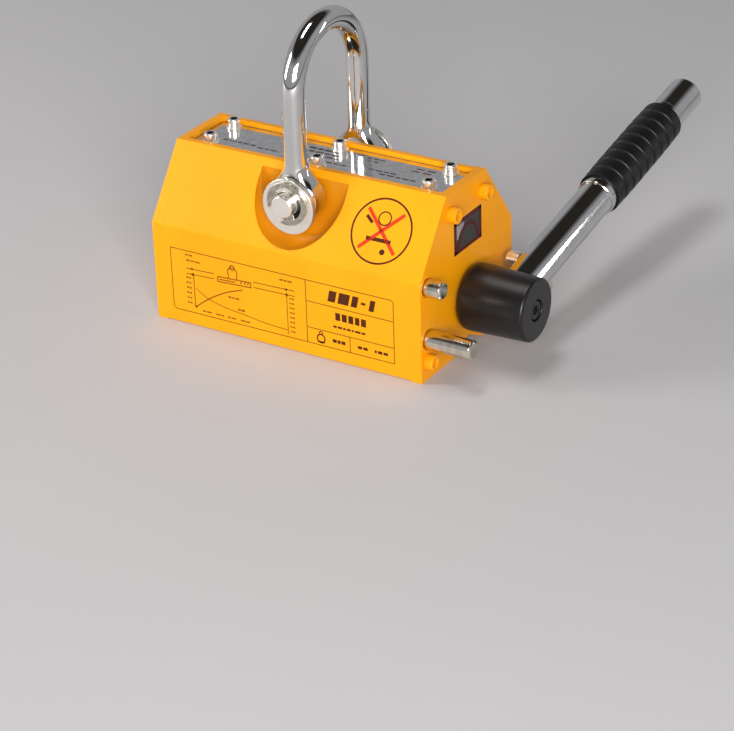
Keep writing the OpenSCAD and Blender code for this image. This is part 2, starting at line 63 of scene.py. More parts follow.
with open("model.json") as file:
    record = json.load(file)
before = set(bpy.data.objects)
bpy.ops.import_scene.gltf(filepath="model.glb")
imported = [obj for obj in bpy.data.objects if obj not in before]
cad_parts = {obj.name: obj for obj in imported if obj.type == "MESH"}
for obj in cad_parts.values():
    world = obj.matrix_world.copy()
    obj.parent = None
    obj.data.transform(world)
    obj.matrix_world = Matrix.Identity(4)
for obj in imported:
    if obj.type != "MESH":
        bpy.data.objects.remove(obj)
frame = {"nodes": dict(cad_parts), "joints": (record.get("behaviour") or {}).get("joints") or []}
cad_low, cad_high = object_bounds()
joints = {joint["name"]: joint for joint in frame["joints"]}
SHAFT_AT = Vector(joints["lever_turn"]["pos_m"])
PIN_AT = Vector(joints["shackle_swing"]["pos_m"])
BAR = Vector(joints["key_slide"]["axis"]).normalized()
BAR_UP = X.cross(BAR)


# ---------- Measuring the frame ----------


def points_of(node):
    """The corner points of a CAD node."""
    return [v.co.copy() for v in frame["nodes"][node].data.vertices]


def reach(points, direction, origin=ORIGIN):
    """Nearest and farthest distance of some points from the origin, along a direction."""
    along = [(p - origin).dot(direction) for p in points]
    return min(along), max(along)


def off_axis(point, axis, origin=ORIGIN):
    """Distance of a point from an axis."""
    return ((point - origin) - axis * (point - origin).dot(axis)).length


def radius_round(points, axis, origin=ORIGIN):
    """Largest distance of some points from an axis."""
    return max(off_axis(p, axis, origin) for p in points)


def measure(node, axis, origin):
    """Both ends of a CAD node along an axis, and its largest radius round it."""
    points = points_of(node)
    return (*reach(points, axis, origin), radius_round(points, axis, origin))


def foot(point, axis):
    """A point moved along an axis into the plane through the origin."""
    return point - axis * point.dot(axis)


def solids(node):
    """The corner points of each separate solid of a CAD node."""
    bm = bmesh.new()
    bm.from_mesh(frame["nodes"][node].data)
    bmesh.ops.remove_doubles(bm, verts=bm.verts, dist=WELD)
    bm.verts.index_update()
    bm.verts.ensure_lookup_table()
    seen = [False] * len(bm.verts)
    groups = []
    for start in range(len(bm.verts)):
        if seen[start]:
            continue
        seen[start] = True
        queue = [bm.verts[start]]
        group = []
        while queue:
            vert = queue.pop()
            group.append(vert.co.copy())
            for edge in vert.link_edges:
                other = edge.other_vert(vert)
                if not seen[other.index]:
                    seen[other.index] = True
                    queue.append(other)
        groups.append(group)
    bm.free()
    return groups


def middle(points):
    """Middle of the box round some points."""
    low = Vector([min(p[i] for p in points) for i in range(3)])
    high = Vector([max(p[i] for p in points) for i in range(3)])
    return (low + high) / 2


# ---------- Materials ----------


BLOTCH_BAND = (0.35, 0.65)  # noise values between which the two colours mix
GRAIN_BAND = (0.3, 0.7)
LEAST_ROUGHNESS = 0.02


def look(name, colour, roughness, other, blotch, metallic=0.0, uneven=0.06, grain=900,
         relief=0.000006, coat=0.0, coat_roughness=0.08, specular=0.5):
    """A procedural material: blotches between two colours, uneven gloss and a fine relief.

    The scale of the blotches and the grain is one number, or one each for x, y and z.
    """
    material = bpy.data.materials.new(name)
    material.use_nodes = True
    tree = material.node_tree
    add = tree.nodes.new
    link = tree.links.new
    shader = tree.nodes["Principled BSDF"]
    shader.inputs["Metallic"].default_value = metallic
    shader.inputs["Specular IOR Level"].default_value = specular
    shader.inputs["Coat Weight"].default_value = coat
    shader.inputs["Coat Roughness"].default_value = coat_roughness
    place = add("ShaderNodeTexCoord")

    def noise(scale, detail):
        stretch = add("ShaderNodeMapping")
        stretch.inputs["Scale"].default_value = scale if isinstance(scale, tuple) else (scale,) * 3
        texture = add("ShaderNodeTexNoise")
        texture.inputs["Scale"].default_value = 1.0
        texture.inputs["Detail"].default_value = detail
        link(place.outputs["Object"], stretch.inputs["Vector"])
        link(stretch.outputs["Vector"], texture.inputs["Vector"])
        return texture.outputs["Fac"]

    patches = noise(blotch, detail=4.0)
    ramp = add("ShaderNodeValToRGB")
    for element, position, shade in zip(ramp.color_ramp.elements, BLOTCH_BAND, (colour, other)):
        element.position = position
        element.color = (*shade, 1)
    link(patches, ramp.inputs["Fac"])
    link(ramp.outputs["Color"], shader.inputs["Base Color"])
    fine = noise(grain, detail=3.0)
    gloss = add("ShaderNodeMapRange")
    gloss.inputs["From Min"].default_value = GRAIN_BAND[0]
    gloss.inputs["From Max"].default_value = GRAIN_BAND[1]
    gloss.inputs["To Min"].default_value = max(LEAST_ROUGHNESS, roughness - uneven)
    gloss.inputs["To Max"].default_value = roughness + uneven
    link(fine, gloss.inputs["Value"])
    link(gloss.outputs["Result"], shader.inputs["Roughness"])
    bump = add("ShaderNodeBump")
    bump.inputs["Strength"].default_value = 1.0
    bump.inputs["Distance"].default_value = relief
    link(fine, bump.inputs["Height"])
    link(bump.outputs["Normal"], shader.inputs["Normal"])
    return material


PAINTED = {"blotch": 35, "uneven": 0.05, "grain": 420, "relief": 0.00003, "coat": 0.05,
           "coat_roughness": 0.25, "specular": 0.22}
PAINT = look("body_paint", (0.90, 0.352, 0.002), 0.40, (0.87, 0.328, 0.001), **PAINTED)
# Painted shade: a darker paint for the recess round the shackle's eye, where shade falls
RECESS_PAINTED_SHADE = look("recess_painted_shade", (0.68, 0.245, 0.001), 0.42, (0.62, 0.215, 0.001), **PAINTED)
CHROME = look("chrome", (0.74, 0.74, 0.73), 0.06, (0.68, 0.68, 0.67), 70, metallic=1.0,
              uneven=0.02, grain=260, relief=0.000004)
PLATE = look("bright_plate", (0.72, 0.72, 0.71), 0.10, (0.60, 0.60, 0.60), 260, metallic=1.0,
             uneven=0.03, relief=0.000003)
ZINC = look("zinc_steel", (0.95, 0.92, 0.85), 0.22, (0.89, 0.86, 0.79), 160, metallic=0.85,
            uneven=0.02, relief=0.000001)
CLIP = look("clip_steel", (0.62, 0.58, 0.50), 0.26, (0.44, 0.41, 0.35), 320, metallic=1.0,
            grain=1200, relief=0.000005)
TURNED = look("turned_steel", (0.80, 0.76, 0.66), 0.18, (0.66, 0.62, 0.53), (500, 60, 60),
              metallic=1.0, grain=(3200, 150, 150))
HUB_BLACK = look("black_hub", (0.006, 0.005, 0.006), 0.34, (0.009, 0.008, 0.008), 120,
                 uneven=0.04, grain=1100, relief=0.00001, specular=0.45)
# Black oxide for the parts that have that finish; inside the sockets of the zinc top screws it paints
# shade
BLACK_OXIDE_AND_SOCKET_SHADE = look("black_oxide", (0.03, 0.03, 0.032), 0.38, (0.06, 0.058, 0.055), 500, metallic=0.7,
             uneven=0.08, grain=1500, relief=0.00001)
RUBBER = look("grip_rubber", (0.003, 0.003, 0.004), 0.44, (0.005, 0.005, 0.006), 260,
              grain=1800, relief=0.00002, specular=0.28)
BRONZE = look("bronze", (0.55, 0.27, 0.10), 0.32, (0.40, 0.20, 0.08), 180, metallic=1.0,
              uneven=0.08, relief=0.00001)
BRASS = look("brass", (0.72, 0.50, 0.16), 0.34, (0.58, 0.40, 0.13), 120, metallic=1.0,
             uneven=0.08, grain=(90, 1800, 1800), relief=0.00001)
MAGNET = look("magnet", (0.16, 0.16, 0.17), 0.45, (0.10, 0.10, 0.11), 220, metallic=0.6,
              uneven=0.1, grain=1400, relief=0.00002)
STEEL = look("ground_steel", (0.55, 0.54, 0.52), 0.30, (0.45, 0.44, 0.42), 90, metallic=1.0,
             uneven=0.08, grain=(80, 1600, 1600), relief=0.000008)
NYLON = look("nylon", (0.72, 0.69, 0.60), 0.50, (0.64, 0.61, 0.53), 160, uneven=0.05,
             relief=0.00001)
INK = look("ink_brown", (0.055, 0.013, 0.004), 0.42, (0.085, 0.022, 0.005), 900, specular=0.15)
LINE_INK = look("ink_ochre", (0.20, 0.078, 0.003), 0.40, (0.27, 0.108, 0.004), 900,
                specular=0.15)
RED_INK = look("ink_red", (0.66, 0.040, 0.007), 0.40, (0.56, 0.030, 0.008), 700, specular=0.2)
# Grey ink for the plate's blocks; it also paints the shadow line near the plate's edges
PLATE_INK_AND_SHADOW = look("ink_grey_and_painted_shadow", (0.035, 0.036, 0.045), 0.45, (0.06, 0.06, 0.07), 900)
LABEL_FIELD = look("label_field", (0.032, 0.034, 0.030), 0.45, (0.050, 0.044, 0.042), 500,
                   specular=0.3)
LABEL_RED = look("label_maroon", (0.085, 0.003, 0.006), 0.45, (0.065, 0.003, 0.005), 500,
                 specular=0.3)
LABEL_PALE = look("label_pale", (0.34, 0.31, 0.32), 0.42, (0.24, 0.21, 0.22), 500)
FLOOR = look("floor", (0.55, 0.545, 0.56), 0.75, (0.535, 0.53, 0.545), 3, uneven=0.05, grain=40,
             relief=0.00001, specular=0.25)

BODY_PAINT = ("housing", "body_paint", PAINT)
BODY_ZINC = ("housing", "zinc_steel", ZINC)


# ---------- Building meshes ----------


def linked(name, bm):
    """An object in the scene made from a bmesh, which is freed."""
    mesh = bpy.data.meshes.new(name)
    bm.to_mesh(mesh)
    bm.free()
    made = bpy.data.objects.new(name, mesh)
    bpy.context.scene.collection.objects.link(made)
    return made


def settle(piece):
    """Applies a piece's modifiers to its mesh."""
    bpy.context.view_layer.update()
    finished = piece.evaluated_get(bpy.context.evaluated_depsgraph_get())
    mesh = bpy.data.meshes.new_from_object(finished)
    mesh.name = piece.name
    piece.modifiers.clear()
    piece.data = mesh


def taken(piece, *helpers):
    """The settled mesh of a piece as a bmesh. The piece and its helpers are removed."""
    settle(piece)
    result = bmesh.new()
    result.from_mesh(piece.data)
    for spent in (piece, *helpers):
        bpy.data.objects.remove(spent)
    return result


def rounding_on(piece, width, segments):
    """Rounds the weighted edges of a piece and returns the modifier for it."""
    rounding = piece.modifiers.new("rounding", "BEVEL")
    rounding.width = width
    rounding.segments = segments
    rounding.limit_method = "WEIGHT"
    rounding.use_clamp_overlap = False
    return rounding


def place(name, bm, body, slot, material, replaced=(), bevel=0.0, segments=3, shade_look=None):
    """Turns a bmesh into a piece that rides on a body, with smooth faces and weighted normals.

    Faces of material index 1 get the second look; where it is darker, it paints shade on them.
    """
    bmesh.ops.remove_doubles(bm, verts=bm.verts, dist=WELD / 2)
    bmesh.ops.recalc_face_normals(bm, faces=bm.faces)
    for face in bm.faces:
        face.smooth = True
    for edge in bm.edges:
        edge.smooth = len(edge.link_faces) == 2 and edge.calc_face_angle() < SHARP
    piece = linked(name, bm)
    piece.data.materials.append(material)
    if shade_look:
        piece.data.materials.append(shade_look)
    if bevel:
        rounding_on(piece, bevel, segments).miter_outer = "MITER_ARC"
    weigh = piece.modifiers.new("weigh", "WEIGHTED_NORMAL")
    weigh.keep_sharp = not bevel
    settle(piece)
    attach(piece, body)
    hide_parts(*replaced)
    return piece


def across(axis):
    """A unit vector at right angles to an axis."""
    helper = Z if abs(axis.dot(Z)) < 0.9 else X
    return (helper - axis * helper.dot(axis)).normalized()


def lathe(bm, outline, origin, axis, sides=SIDES):
    """Turns (distance, radius) points about an axis. A radius may be a function of the angle."""
    first = across(axis)
    second = axis.cross(first)
    rings = []
    for distance, radius in outline:
        centre = origin + axis * distance
        if not callable(radius) and radius < WELD:
            rings.append([bm.verts.new(centre)])
            continue
        ring = []
        for k in range(sides):
            angle = 2 * math.pi * k / sides
            r = radius(angle) if callable(radius) else radius
            ring.append(bm.verts.new(
                centre + (first * math.cos(angle) + second * math.sin(angle)) * r))
        rings.append(ring)
    for low, high in zip(rings, rings[1:]):
        for k in range(sides):
            n = (k + 1) % sides
            corners = [low[k % len(low)], low[n % len(low)], high[n % len(high)], high[k % len(high)]]
            kept = [c for i, c in enumerate(corners) if c not in corners[:i]]
            if len(kept) > 2:
                bm.faces.new(kept)


def rounded(corners, closed=False, steps=5):
    """An outline of (distance, radius) points from corners of (distance, radius, rounding)."""
    points = []
    count = len(corners)
    for i, (x, y, rounding) in enumerate(corners):
        here = Vector((x, y))
        if rounding <= 0 or (not closed and i in (0, count - 1)):
            points.append((x, y))
            continue
        before = (Vector(corners[i - 1][:2]) - here).normalized()
        after = (Vector(corners[(i + 1) % count][:2]) - here).normalized()
        half = before.angle(after) / 2
        setback = rounding / math.tan(half)
        centre = here + (before + after).normalized() * (rounding / math.sin(half))
        start = here + before * setback - centre
        end = here + after * setback - centre
        turn = math.pi - 2 * half
        if start.x * end.y - start.y * end.x < 0:
            turn = -turn
        for k in range(steps + 1):
            a = turn * k / steps
            points.append((centre.x + start.x * math.cos(a) - start.y * math.sin(a),
                           centre.y + start.x * math.sin(a) + start.y * math.cos(a)))
    if closed:
        points.append(points[0])
    return points


def ring_outline(start, end, inner, outer, rounding):
    """The closed outline of a washer, with rounded edges."""
    corners = [(start, inner, rounding), (start, outer, rounding),
               (end, outer, rounding), (end, inner, rounding)]
    return rounded(corners, closed=True, steps=3)


def prism(bm, outline, origin, u, v, height):
    """A flat closed prism on a surface: its outline is in u and v, and it stands up by height."""
    rise = u.cross(v) * height
    base = [bm.verts.new(origin + u * a + v * b) for a, b in outline]
    top = [bm.verts.new(p.co + rise) for p in base]
    count = len(base)
    bm.faces.new(list(reversed(base)))
    bm.faces.new(top)
    for i in range(count):
        n = (i + 1) % count
        bm.faces.new([base[i], base[n], top[n], top[i]])


def carve(bm, cutter):
    """Cuts one closed bmesh out of another and returns the result."""
    objects = []
    for part in (bm, cutter):
        bmesh.ops.recalc_face_normals(part, faces=part.faces)
        objects.append(linked("part", part))
    cut = objects[0].modifiers.new("cut", "BOOLEAN")
    cut.operation = "DIFFERENCE"
    cut.solver = "EXACT"
    cut.object = objects[1]
    return taken(*objects)


def drilled(bm, start, end, radius, origin, axis):
    """Drills a round hole into a bmesh and returns the result."""
    drill = bmesh.new()
    lathe(drill, [(start, 0), (start, radius), (end, radius), (end, 0)], origin, axis, BORE_SIDES)
    return carve(bm, drill)


def weigh_edges(bm, rounding_of, widest):
    """Weighs the sharp edges of a bmesh. rounding_of gives each of them its width."""
    weight = bm.edges.layers.float.new("bevel_weight_edge")
    for edge in bm.edges:
        if len(edge.link_faces) == 2 and edge.calc_face_angle() > FOLD:
            ends = [v.co for v in edge.verts]
            along = (ends[1] - ends[0]).normalized()
            edge[weight] = rounding_of((ends[0] + ends[1]) / 2, along) / widest


# ---------- Housing: poles and covers with rounded, painted edges ----------

HOUSING_LOW, HOUSING_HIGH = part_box("front_pole")
FRONT_Y = HOUSING_LOW.y
RIM_Z = HOUSING_HIGH.z
pole_points = points_of("front_pole")
SLOPE_FOOT = max(p.z for p in pole_points if p.y < FRONT_Y + WELD)
SLOPE_TOP = min(p.y for p in pole_points if p.z > RIM_Z - WELD)
SEAM_X = HOUSING_HIGH.x
COVER_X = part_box("drive_cover")[1].x
FLOOR_HALF_WIDTH = 20 * MM  # the recess floor reaches at least this far from the pin
FLOOR_BELOW_RIM = 5 * MM
INNER_Y = 20 * MM  # corners of the poles nearer the middle lie inside the body
RECESS_FLOOR = -max(p.y for p in pole_points
                    if SLOPE_FOOT + MM < p.z < RIM_Z - FLOOR_BELOW_RIM
                    and abs(p.x) < FLOOR_HALF_WIDTH and p.y < -INNER_Y)
PLATE_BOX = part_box("top_plate")

END_EDGE = 2.8 * MM
OUTER_EDGE = 1.1 * MM
SEAM_EDGE = 0.05 * MM
RECESS_EDGE = 0.55 * MM
POCKET_EDGE = 0.3 * MM
POCKET_DEPTH = 8 * MM  # the plate's pocket is less deep than this
RECESS_R = 27 * MM  # the recess is narrower than this on each side of the pin
RECESS_STEP = 0.2 * MM
LENGTHWISE = 0.999  # how nearly an edge must point along X to count as lengthwise
UPRIGHT = 0.05  # how little a wall's normal may point along Y


def housing_edge(at, along):
    """How far an edge of the housing is rounded, from its middle and its direction."""
    y = abs(at.y)
    slope_y = -FRONT_Y - (at.z - SLOPE_FOOT) * (SLOPE_TOP - FRONT_Y) / (RIM_Z - SLOPE_FOOT)
    outside = y > -FRONT_Y - WELD or at.z > RIM_Z - WELD or at.z < WELD
    if abs(abs(at.x) - SEAM_X) < WELD:
        return SEAM_EDGE
    if abs(abs(at.x) - COVER_X) < WELD:
        on_slope = at.z > SLOPE_FOOT and abs(y - slope_y) < TOUCH
        if at.z < WELD:
            return OUTER_EDGE
        return END_EDGE if outside or on_slope else 0.0
    if abs(along.dot(X)) > LENGTHWISE:
        if y < -SLOPE_TOP - MM and at.z > RIM_Z - POCKET_DEPTH:
            return POCKET_EDGE
        return OUTER_EDGE if outside or abs(at.z - SLOPE_FOOT) < WELD else 0.0
    if y > RECESS_FLOOR + RECESS_STEP and at.z > SLOPE_FOOT - MM:
        return RECESS_EDGE
    return 0.0


def bevelled(name, node, body, slot, material, rounding_of, widest, segments=3, shade_look=None,
             is_shaded=None):
    """A copy of a CAD node with rounded edges. rounding_of gives each sharp edge its width.

    The face picker chooses the faces that get the second look, a darker one that paints shade on
    them.
    """
    bm = bmesh.new()
    bm.from_mesh(frame["nodes"][node].data)
    bmesh.ops.remove_doubles(bm, verts=bm.verts, dist=WELD)
    bmesh.ops.dissolve_limit(bm, angle_limit=FLAT, use_dissolve_boundaries=False,
                             verts=bm.verts, edges=bm.edges)
    weigh_edges(bm, rounding_of, widest)
    for face in bm.faces:
        if shade_look and is_shaded(face):
            face.material_index = 1
    return place(name, bm, body, slot, material, (node,), bevel=widest, segments=segments,
                 shade_look=shade_look)


def in_recess(face):
    """Whether a face of a pole belongs to the recess round the shackle's eye."""
    points = [v.co for v in face.verts]
    on_floor = all(abs(abs(p.y) - RECESS_FLOOR) < TOUCH for p in points)
    on_wall = abs(face.normal.y) < UPRIGHT and all(abs(p.y) > RECESS_FLOOR - TOUCH for p in points)
    inside = all(abs(p.x) < RECESS_R and p.z > SLOPE_FOOT for p in points)
    return inside and (on_floor or on_wall)


# The recess faces of the poles get the darker paint: painted shade round the shackle's eye
for pole_name in ("front_pole", "rear_pole"):
    bevelled(pole_name + "_painted", pole_name, *BODY_PAINT,
             housing_edge, END_EDGE, shade_look=RECESS_PAINTED_SHADE, is_shaded=in_recess)


def soften(bm, rounding_of, widest, segments):
    """Rounds the sharp edges of a bmesh. rounding_of gives each of them its width."""
    weigh_edges(bm, rounding_of, widest)
    part = linked("part", bm)
    rounding_on(part, widest, segments)
    return taken(part)


GROOVE_Y = min(abs(p.y) for p in pole_points if p.z < WELD)
GROOVE_Z = min(p.z for p in points_of("drive_cover") if abs(p.y) < WELD)
HOUSE = [(FRONT_Y, 0), (-GROOVE_Y, 0), (0, GROOVE_Z), (GROOVE_Y, 0), (-FRONT_Y, 0),
         (-FRONT_Y, SLOPE_FOOT), (-SLOPE_TOP, RIM_Z), (SLOPE_TOP, RIM_Z), (FRONT_Y, SLOPE_FOOT)]
PIN_RING = 0.8 * MM
PIN_RING_DEPTH = 1.0 * MM
POCKET_GAP = 0.1 * MM


def cover(name, node, bush, screw_node, pins, side):
    """An end cover with rounded outer edges, cut out for the plate, its bush, screws and pins."""
    out = X * side
    bm = bmesh.new()
    prism(bm, HOUSE, out * SEAM_X, Y * side, Z, COVER_X - SEAM_X)
    bm = soften(bm, housing_edge, END_EDGE, segments=5)
    cutter = bmesh.new()
    before = SEAM_X - MM
    beyond = COVER_X + MM
    pocket_y = PLATE_BOX[1].y + POCKET_GAP
    pocket_x = PLATE_BOX[1].x + POCKET_GAP
    pocket = [(-pocket_y, PLATE_BOX[0].z), (pocket_y, PLATE_BOX[0].z),
              (pocket_y, RIM_Z + MM), (-pocket_y, RIM_Z + MM)]
    prism(cutter, pocket, out * before, Y * side, Z, pocket_x - before)
    _, bush_end, bush_r = measure(bush, out, SHAFT_AT)
    bore_end = beyond if bush_end > COVER_X - WELD else bush_end
    lathe(cutter, [(before, 0), (before, bush_r), (bore_end, bush_r), (bore_end, 0)], SHAFT_AT, out)
    for group in solids(screw_node):
        base = foot(middle(group), X)
        shank_r = radius_round([p for p in group if p.dot(out) < SEAM_X], X, base)
        head_r = radius_round(group, X, base)
        seat = reach(group, out)[1]
        hole = [(before, 0), (before, shank_r)]
        if seat < COVER_X + WELD:
            hole += [(COVER_X - head_r + shank_r, shank_r), (COVER_X, head_r)]
        hole += [(beyond, hole[-1][1]), (beyond, 0)]
        lathe(cutter, hole, base, out, sides=48)
    for pin in pins:
        group = points_of(pin)
        base = foot(middle(group), X)
        r = radius_round(group, X, base)
        ring_x = COVER_X - PIN_RING_DEPTH
        lathe(cutter, [(before, 0), (before, r), (ring_x, r), (ring_x, r + PIN_RING),
                       (beyond, r + PIN_RING), (beyond, 0)], base, X, BORE_SIDES)
    bm = carve(bm, cutter)
    spigot = [p for p in points_of(node) if p.dot(out) < SEAM_X - WELD]
    spigot_x = reach(spigot, out)[0]
    spigot_r = radius_round(spigot, X, SHAFT_AT)
    lathe(bm, [(spigot_x, bush_r), (spigot_x, spigot_r), (SEAM_X, spigot_r), (SEAM_X, bush_r),
               (spigot_x, bush_r)], SHAFT_AT, out)
    return place(name, bm, *BODY_PAINT, (node,))


cover("drive_cover_painted", "drive_cover", "drive_bush", "drive_cover_screws",
      ("front_stop_pin", "rear_stop_pin", "safety_pin"), 1)
cover("blind_cover_painted", "blind_cover", "blind_bush", "blind_cover_screws", (), -1)


# ---------- Top plate ----------

PLATE_EDGE = 0.3 * MM


def plate_edge(middle_at, along):
    """The plate's upper edges are broken."""
    return PLATE_EDGE if middle_at.z > PLATE_BOX[1].z - WELD else 0.0


bevelled("top_plate_brushed", "top_plate", "housing", "bright_plate", PLATE, plate_edge,
         PLATE_EDGE, segments=2)


# ---------- Screws, washers, pins and clips ----------


def hexagon(across_flats, angle):
    """Radius of a hexagon at an angle."""
    return across_flats / 2 / math.cos(angle % (math.pi / 3) - math.pi / 6)


TIP_RADIUS = 0.8  # radius of a screw's tip as a share of its shank's
TIP_LENGTH = 0.3  # length of the tip's cone as a share of the shank's radius
CAP_CHAMFER = 0.3 * MM
CAP_SOCKET = 0.5  # depth of the socket as a share of the head's height
CAP_SOCKET_CONE = 0.5 * MM
CAP_SEAT_EDGE = 0.3 * MM
CAP_TOP_EDGE = 0.6 * MM
FLAT_CHAMFER = 0.2 * MM
FLAT_SOCKET = 0.7
FLAT_SOCKET_END = 0.8
FLAT_RIM = 0.15 * MM
FLAT_RIM_EDGE = 0.25 * MM
SHANK_CLEAR = 0.2 * MM  # corners this far below a head belong to the shank


def shank_outline(length, radius):
    """The outline of a screw's tip, from its middle to the shank."""
    return [(-length, 0), (-length, radius * TIP_RADIUS), (-length + radius * TIP_LENGTH, radius)]


def socket_outline(rim, across_flats, chamfer, depth, end):
    """The outline of a hexagon socket, from its chamfered rim down to its pointed end."""
    corner = across_flats / 2 / math.cos(math.pi / 6)

    def wall(angle):
        return hexagon(across_flats, angle)

    return [(rim, corner + chamfer), (rim - chamfer, wall), (rim - depth, wall), (rim - end, 0)]


def cap_screw(bm, seat, axis, shank_r, shank_len, head_r, head_h, socket):
    """A socket screw. The seat is the middle of the head's underside."""
    depth = head_h * CAP_SOCKET
    hollow = socket_outline(head_h, socket, CAP_CHAMFER, depth, depth + CAP_SOCKET_CONE)
    rim_r = hollow[0][1]
    outline = shank_outline(shank_len, shank_r)
    outline += rounded([(0, shank_r, 0), (0, head_r, CAP_SEAT_EDGE),
                        (head_h, head_r, CAP_TOP_EDGE), (head_h, rim_r, 0)])
    lathe(bm, outline + hollow[1:], seat, axis)
    # Faces inside the socket's rim take the second look: painted shade in the socket where that look
    # is darker
    for face in bm.faces:
        corners = [v.co for v in face.verts]
        in_head = reach(corners, axis, seat)[0] > 0
        if in_head and radius_round(corners, axis, seat) < rim_r + WELD:
            face.material_index = 1


def flat_screw(bm, top, axis, shank_r, length, head_r, head_h, socket):
    """A countersunk socket screw. The top is the middle of its flat face."""
    outline = shank_outline(length, shank_r)
    outline += [(-head_h, shank_r), (-FLAT_RIM, head_r - FLAT_RIM), (0, head_r - FLAT_RIM_EDGE)]
    outline += socket_outline(0, socket, FLAT_CHAMFER, head_h * FLAT_SOCKET,
                              head_h * FLAT_SOCKET_END)
    lathe(bm, outline, top, axis)


def screws(name, node, axis_of, body, slot, material, socket, head_h, shade_look, flat=False):
    """Socket screws in place of each solid of a CAD node. The second look goes inside each socket; a
    darker one paints shade there.
    """
    bm = bmesh.new()
    for group in solids(node):
        centre = middle(group)
        axis = axis_of(centre)
        base = foot(centre, axis)
        low, high = reach(group, axis)
        head_r = radius_round(group, axis, base)
        shank = [p for p in group if p.dot(axis) < high - head_h - SHANK_CLEAR]
        shank_r = radius_round(shank, axis, base)
        if flat:
            flat_screw(bm, base + axis * high, axis, shank_r, high - low, head_r, head_h, socket)
        else:
            cap_screw(bm, base + axis * (high - head_h), axis, shank_r, high - head_h - low,
                      head_r, head_h, socket)
    return place(name, bm, body, slot, material, (node,), shade_look=shade_look)


def washers(name, node, axis, body, slot, material, rounding):
    """Washers with rounded edges in place of each solid of a CAD node."""
    bm = bmesh.new()
    for group in solids(node):
        base = foot(middle(group), axis)
        low, high = reach(group, axis)
        outer = radius_round(group, axis, base)
        inner = min(off_axis(p, axis, base) for p in group)
        lathe(bm, ring_outline(low, high, inner, outer, rounding), base, axis)
    return place(name, bm, body, slot, material, (node,))


def outwards(centre):
    """The direction along X that leads out of the housing."""
    return X if centre.x > 0 else -X


# The top screws' sockets get black oxide: painted shade inside the sockets
screws("top_screws_zinc", "top_screws", lambda centre: Z, *BODY_ZINC, 3 * MM, 4.2 * MM, BLACK_OXIDE_AND_SOCKET_SHADE)
screws("drive_cover_screws_painted", "drive_cover_screws", outwards, *BODY_PAINT,
       4 * MM, 5 * MM, PAINT)
screws("blind_cover_screws_painted", "blind_cover_screws", outwards, *BODY_PAINT,
       3 * MM, 2.5 * MM, PAINT, flat=True)
screws("hub_screw_black", "hub_screw", lambda centre: X, "lever", "black_oxide", BLACK_OXIDE_AND_SOCKET_SHADE,
       5 * MM, 6 * MM, BLACK_OXIDE_AND_SOCKET_SHADE)
washers("top_washers_zinc", "top_screw_washers", Z, *BODY_ZINC, 0.2 * MM)
washers("inner_washers_zinc", "shackle_inner_washers", Y, *BODY_ZINC, 0.2 * MM)
washers("friction_washers_black", "shackle_friction_washers", Y, "housing", "black_oxide", BLACK_OXIDE_AND_SOCKET_SHADE,
        0.1 * MM)
washers("outer_washers_zinc", "shackle_outer_washers", Y, *BODY_ZINC, 0.35 * MM)
washers("hub_washer_nylon", "hub_thrust_washer", X, "housing", "nylon", NYLON, 0.1 * MM)
washers("hub_screw_washer_zinc", "hub_screw_washer", X, "lever", "zinc_steel", ZINC, 0.1 * MM)

PIN_FOOT_EDGE = 0.3 * MM
PIN_TIP_EDGE = 0.5 * MM
PIN_CONE = 0.9 * MM


def turned_pin(node):
    """A pin along X with a rounded cone at its tip, in place of a CAD node."""
    base = foot(middle(points_of(node)), X)
    low, high, r = measure(node, X, base)
    bm = bmesh.new()
    lathe(bm, rounded([(low, 0, 0), (low, r, PIN_FOOT_EDGE), (high - PIN_CONE, r, PIN_TIP_EDGE),
                       (high, r - PIN_CONE, PIN_TIP_EDGE), (high, 0, 0)]), base, X)
    place(node + "_turned", bm, "housing", "turned_steel", TURNED, (node,))


for pin_name in ("front_stop_pin", "rear_stop_pin", "safety_pin"):
    turned_pin(pin_name)

pin_low, pin_high, pin_r = measure("shackle_pin", Y, PIN_AT)
washer_high = reach(points_of("shackle_outer_washers"), Y)[1]
clip_high = reach(points_of("shackle_clips"), Y)[1]
HIDDEN_GAP = 0.05 * MM
CLIP_GROOVE = 0.8 * MM
CLIP_GROOVE_EDGE = 0.15 * MM
PIN_END_CONE = 0.6 * MM
PIN_END_EDGE = 0.4 * MM
groove_r = pin_r - CLIP_GROOVE
groove_end = clip_high + HIDDEN_GAP
pin_half = [(0, pin_r, 0), (washer_high, pin_r, 0), (washer_high, groove_r, 0),
            (groove_end, groove_r, 0), (groove_end, pin_r, CLIP_GROOVE_EDGE),
            (pin_high - PIN_END_CONE, pin_r, PIN_END_EDGE),
            (pin_high, pin_r - PIN_END_CONE, PIN_END_EDGE), (pin_high, 0, 0)]
bm = bmesh.new()
half_outline = rounded(pin_half)
lathe(bm, [(-d, r) for d, r in reversed(half_outline)] + half_outline[1:], PIN_AT, Y)
place("shackle_pin_zinc", bm, *BODY_ZINC, ("shackle_pin",))

CLIP_EDGE = 0.3 * MM
CLIP_FLAT = 0.9  # edges that point along Y more than this stay sharp
bevelled("clips_steel", "shackle_clips", "housing", "zinc_steel", CLIP,
         lambda middle_at, along: 0.0 if abs(along.y) > CLIP_FLAT else CLIP_EDGE, CLIP_EDGE,
         segments=2)


# ---------- Shackle: a forged loop whose legs flatten into eyes ----------

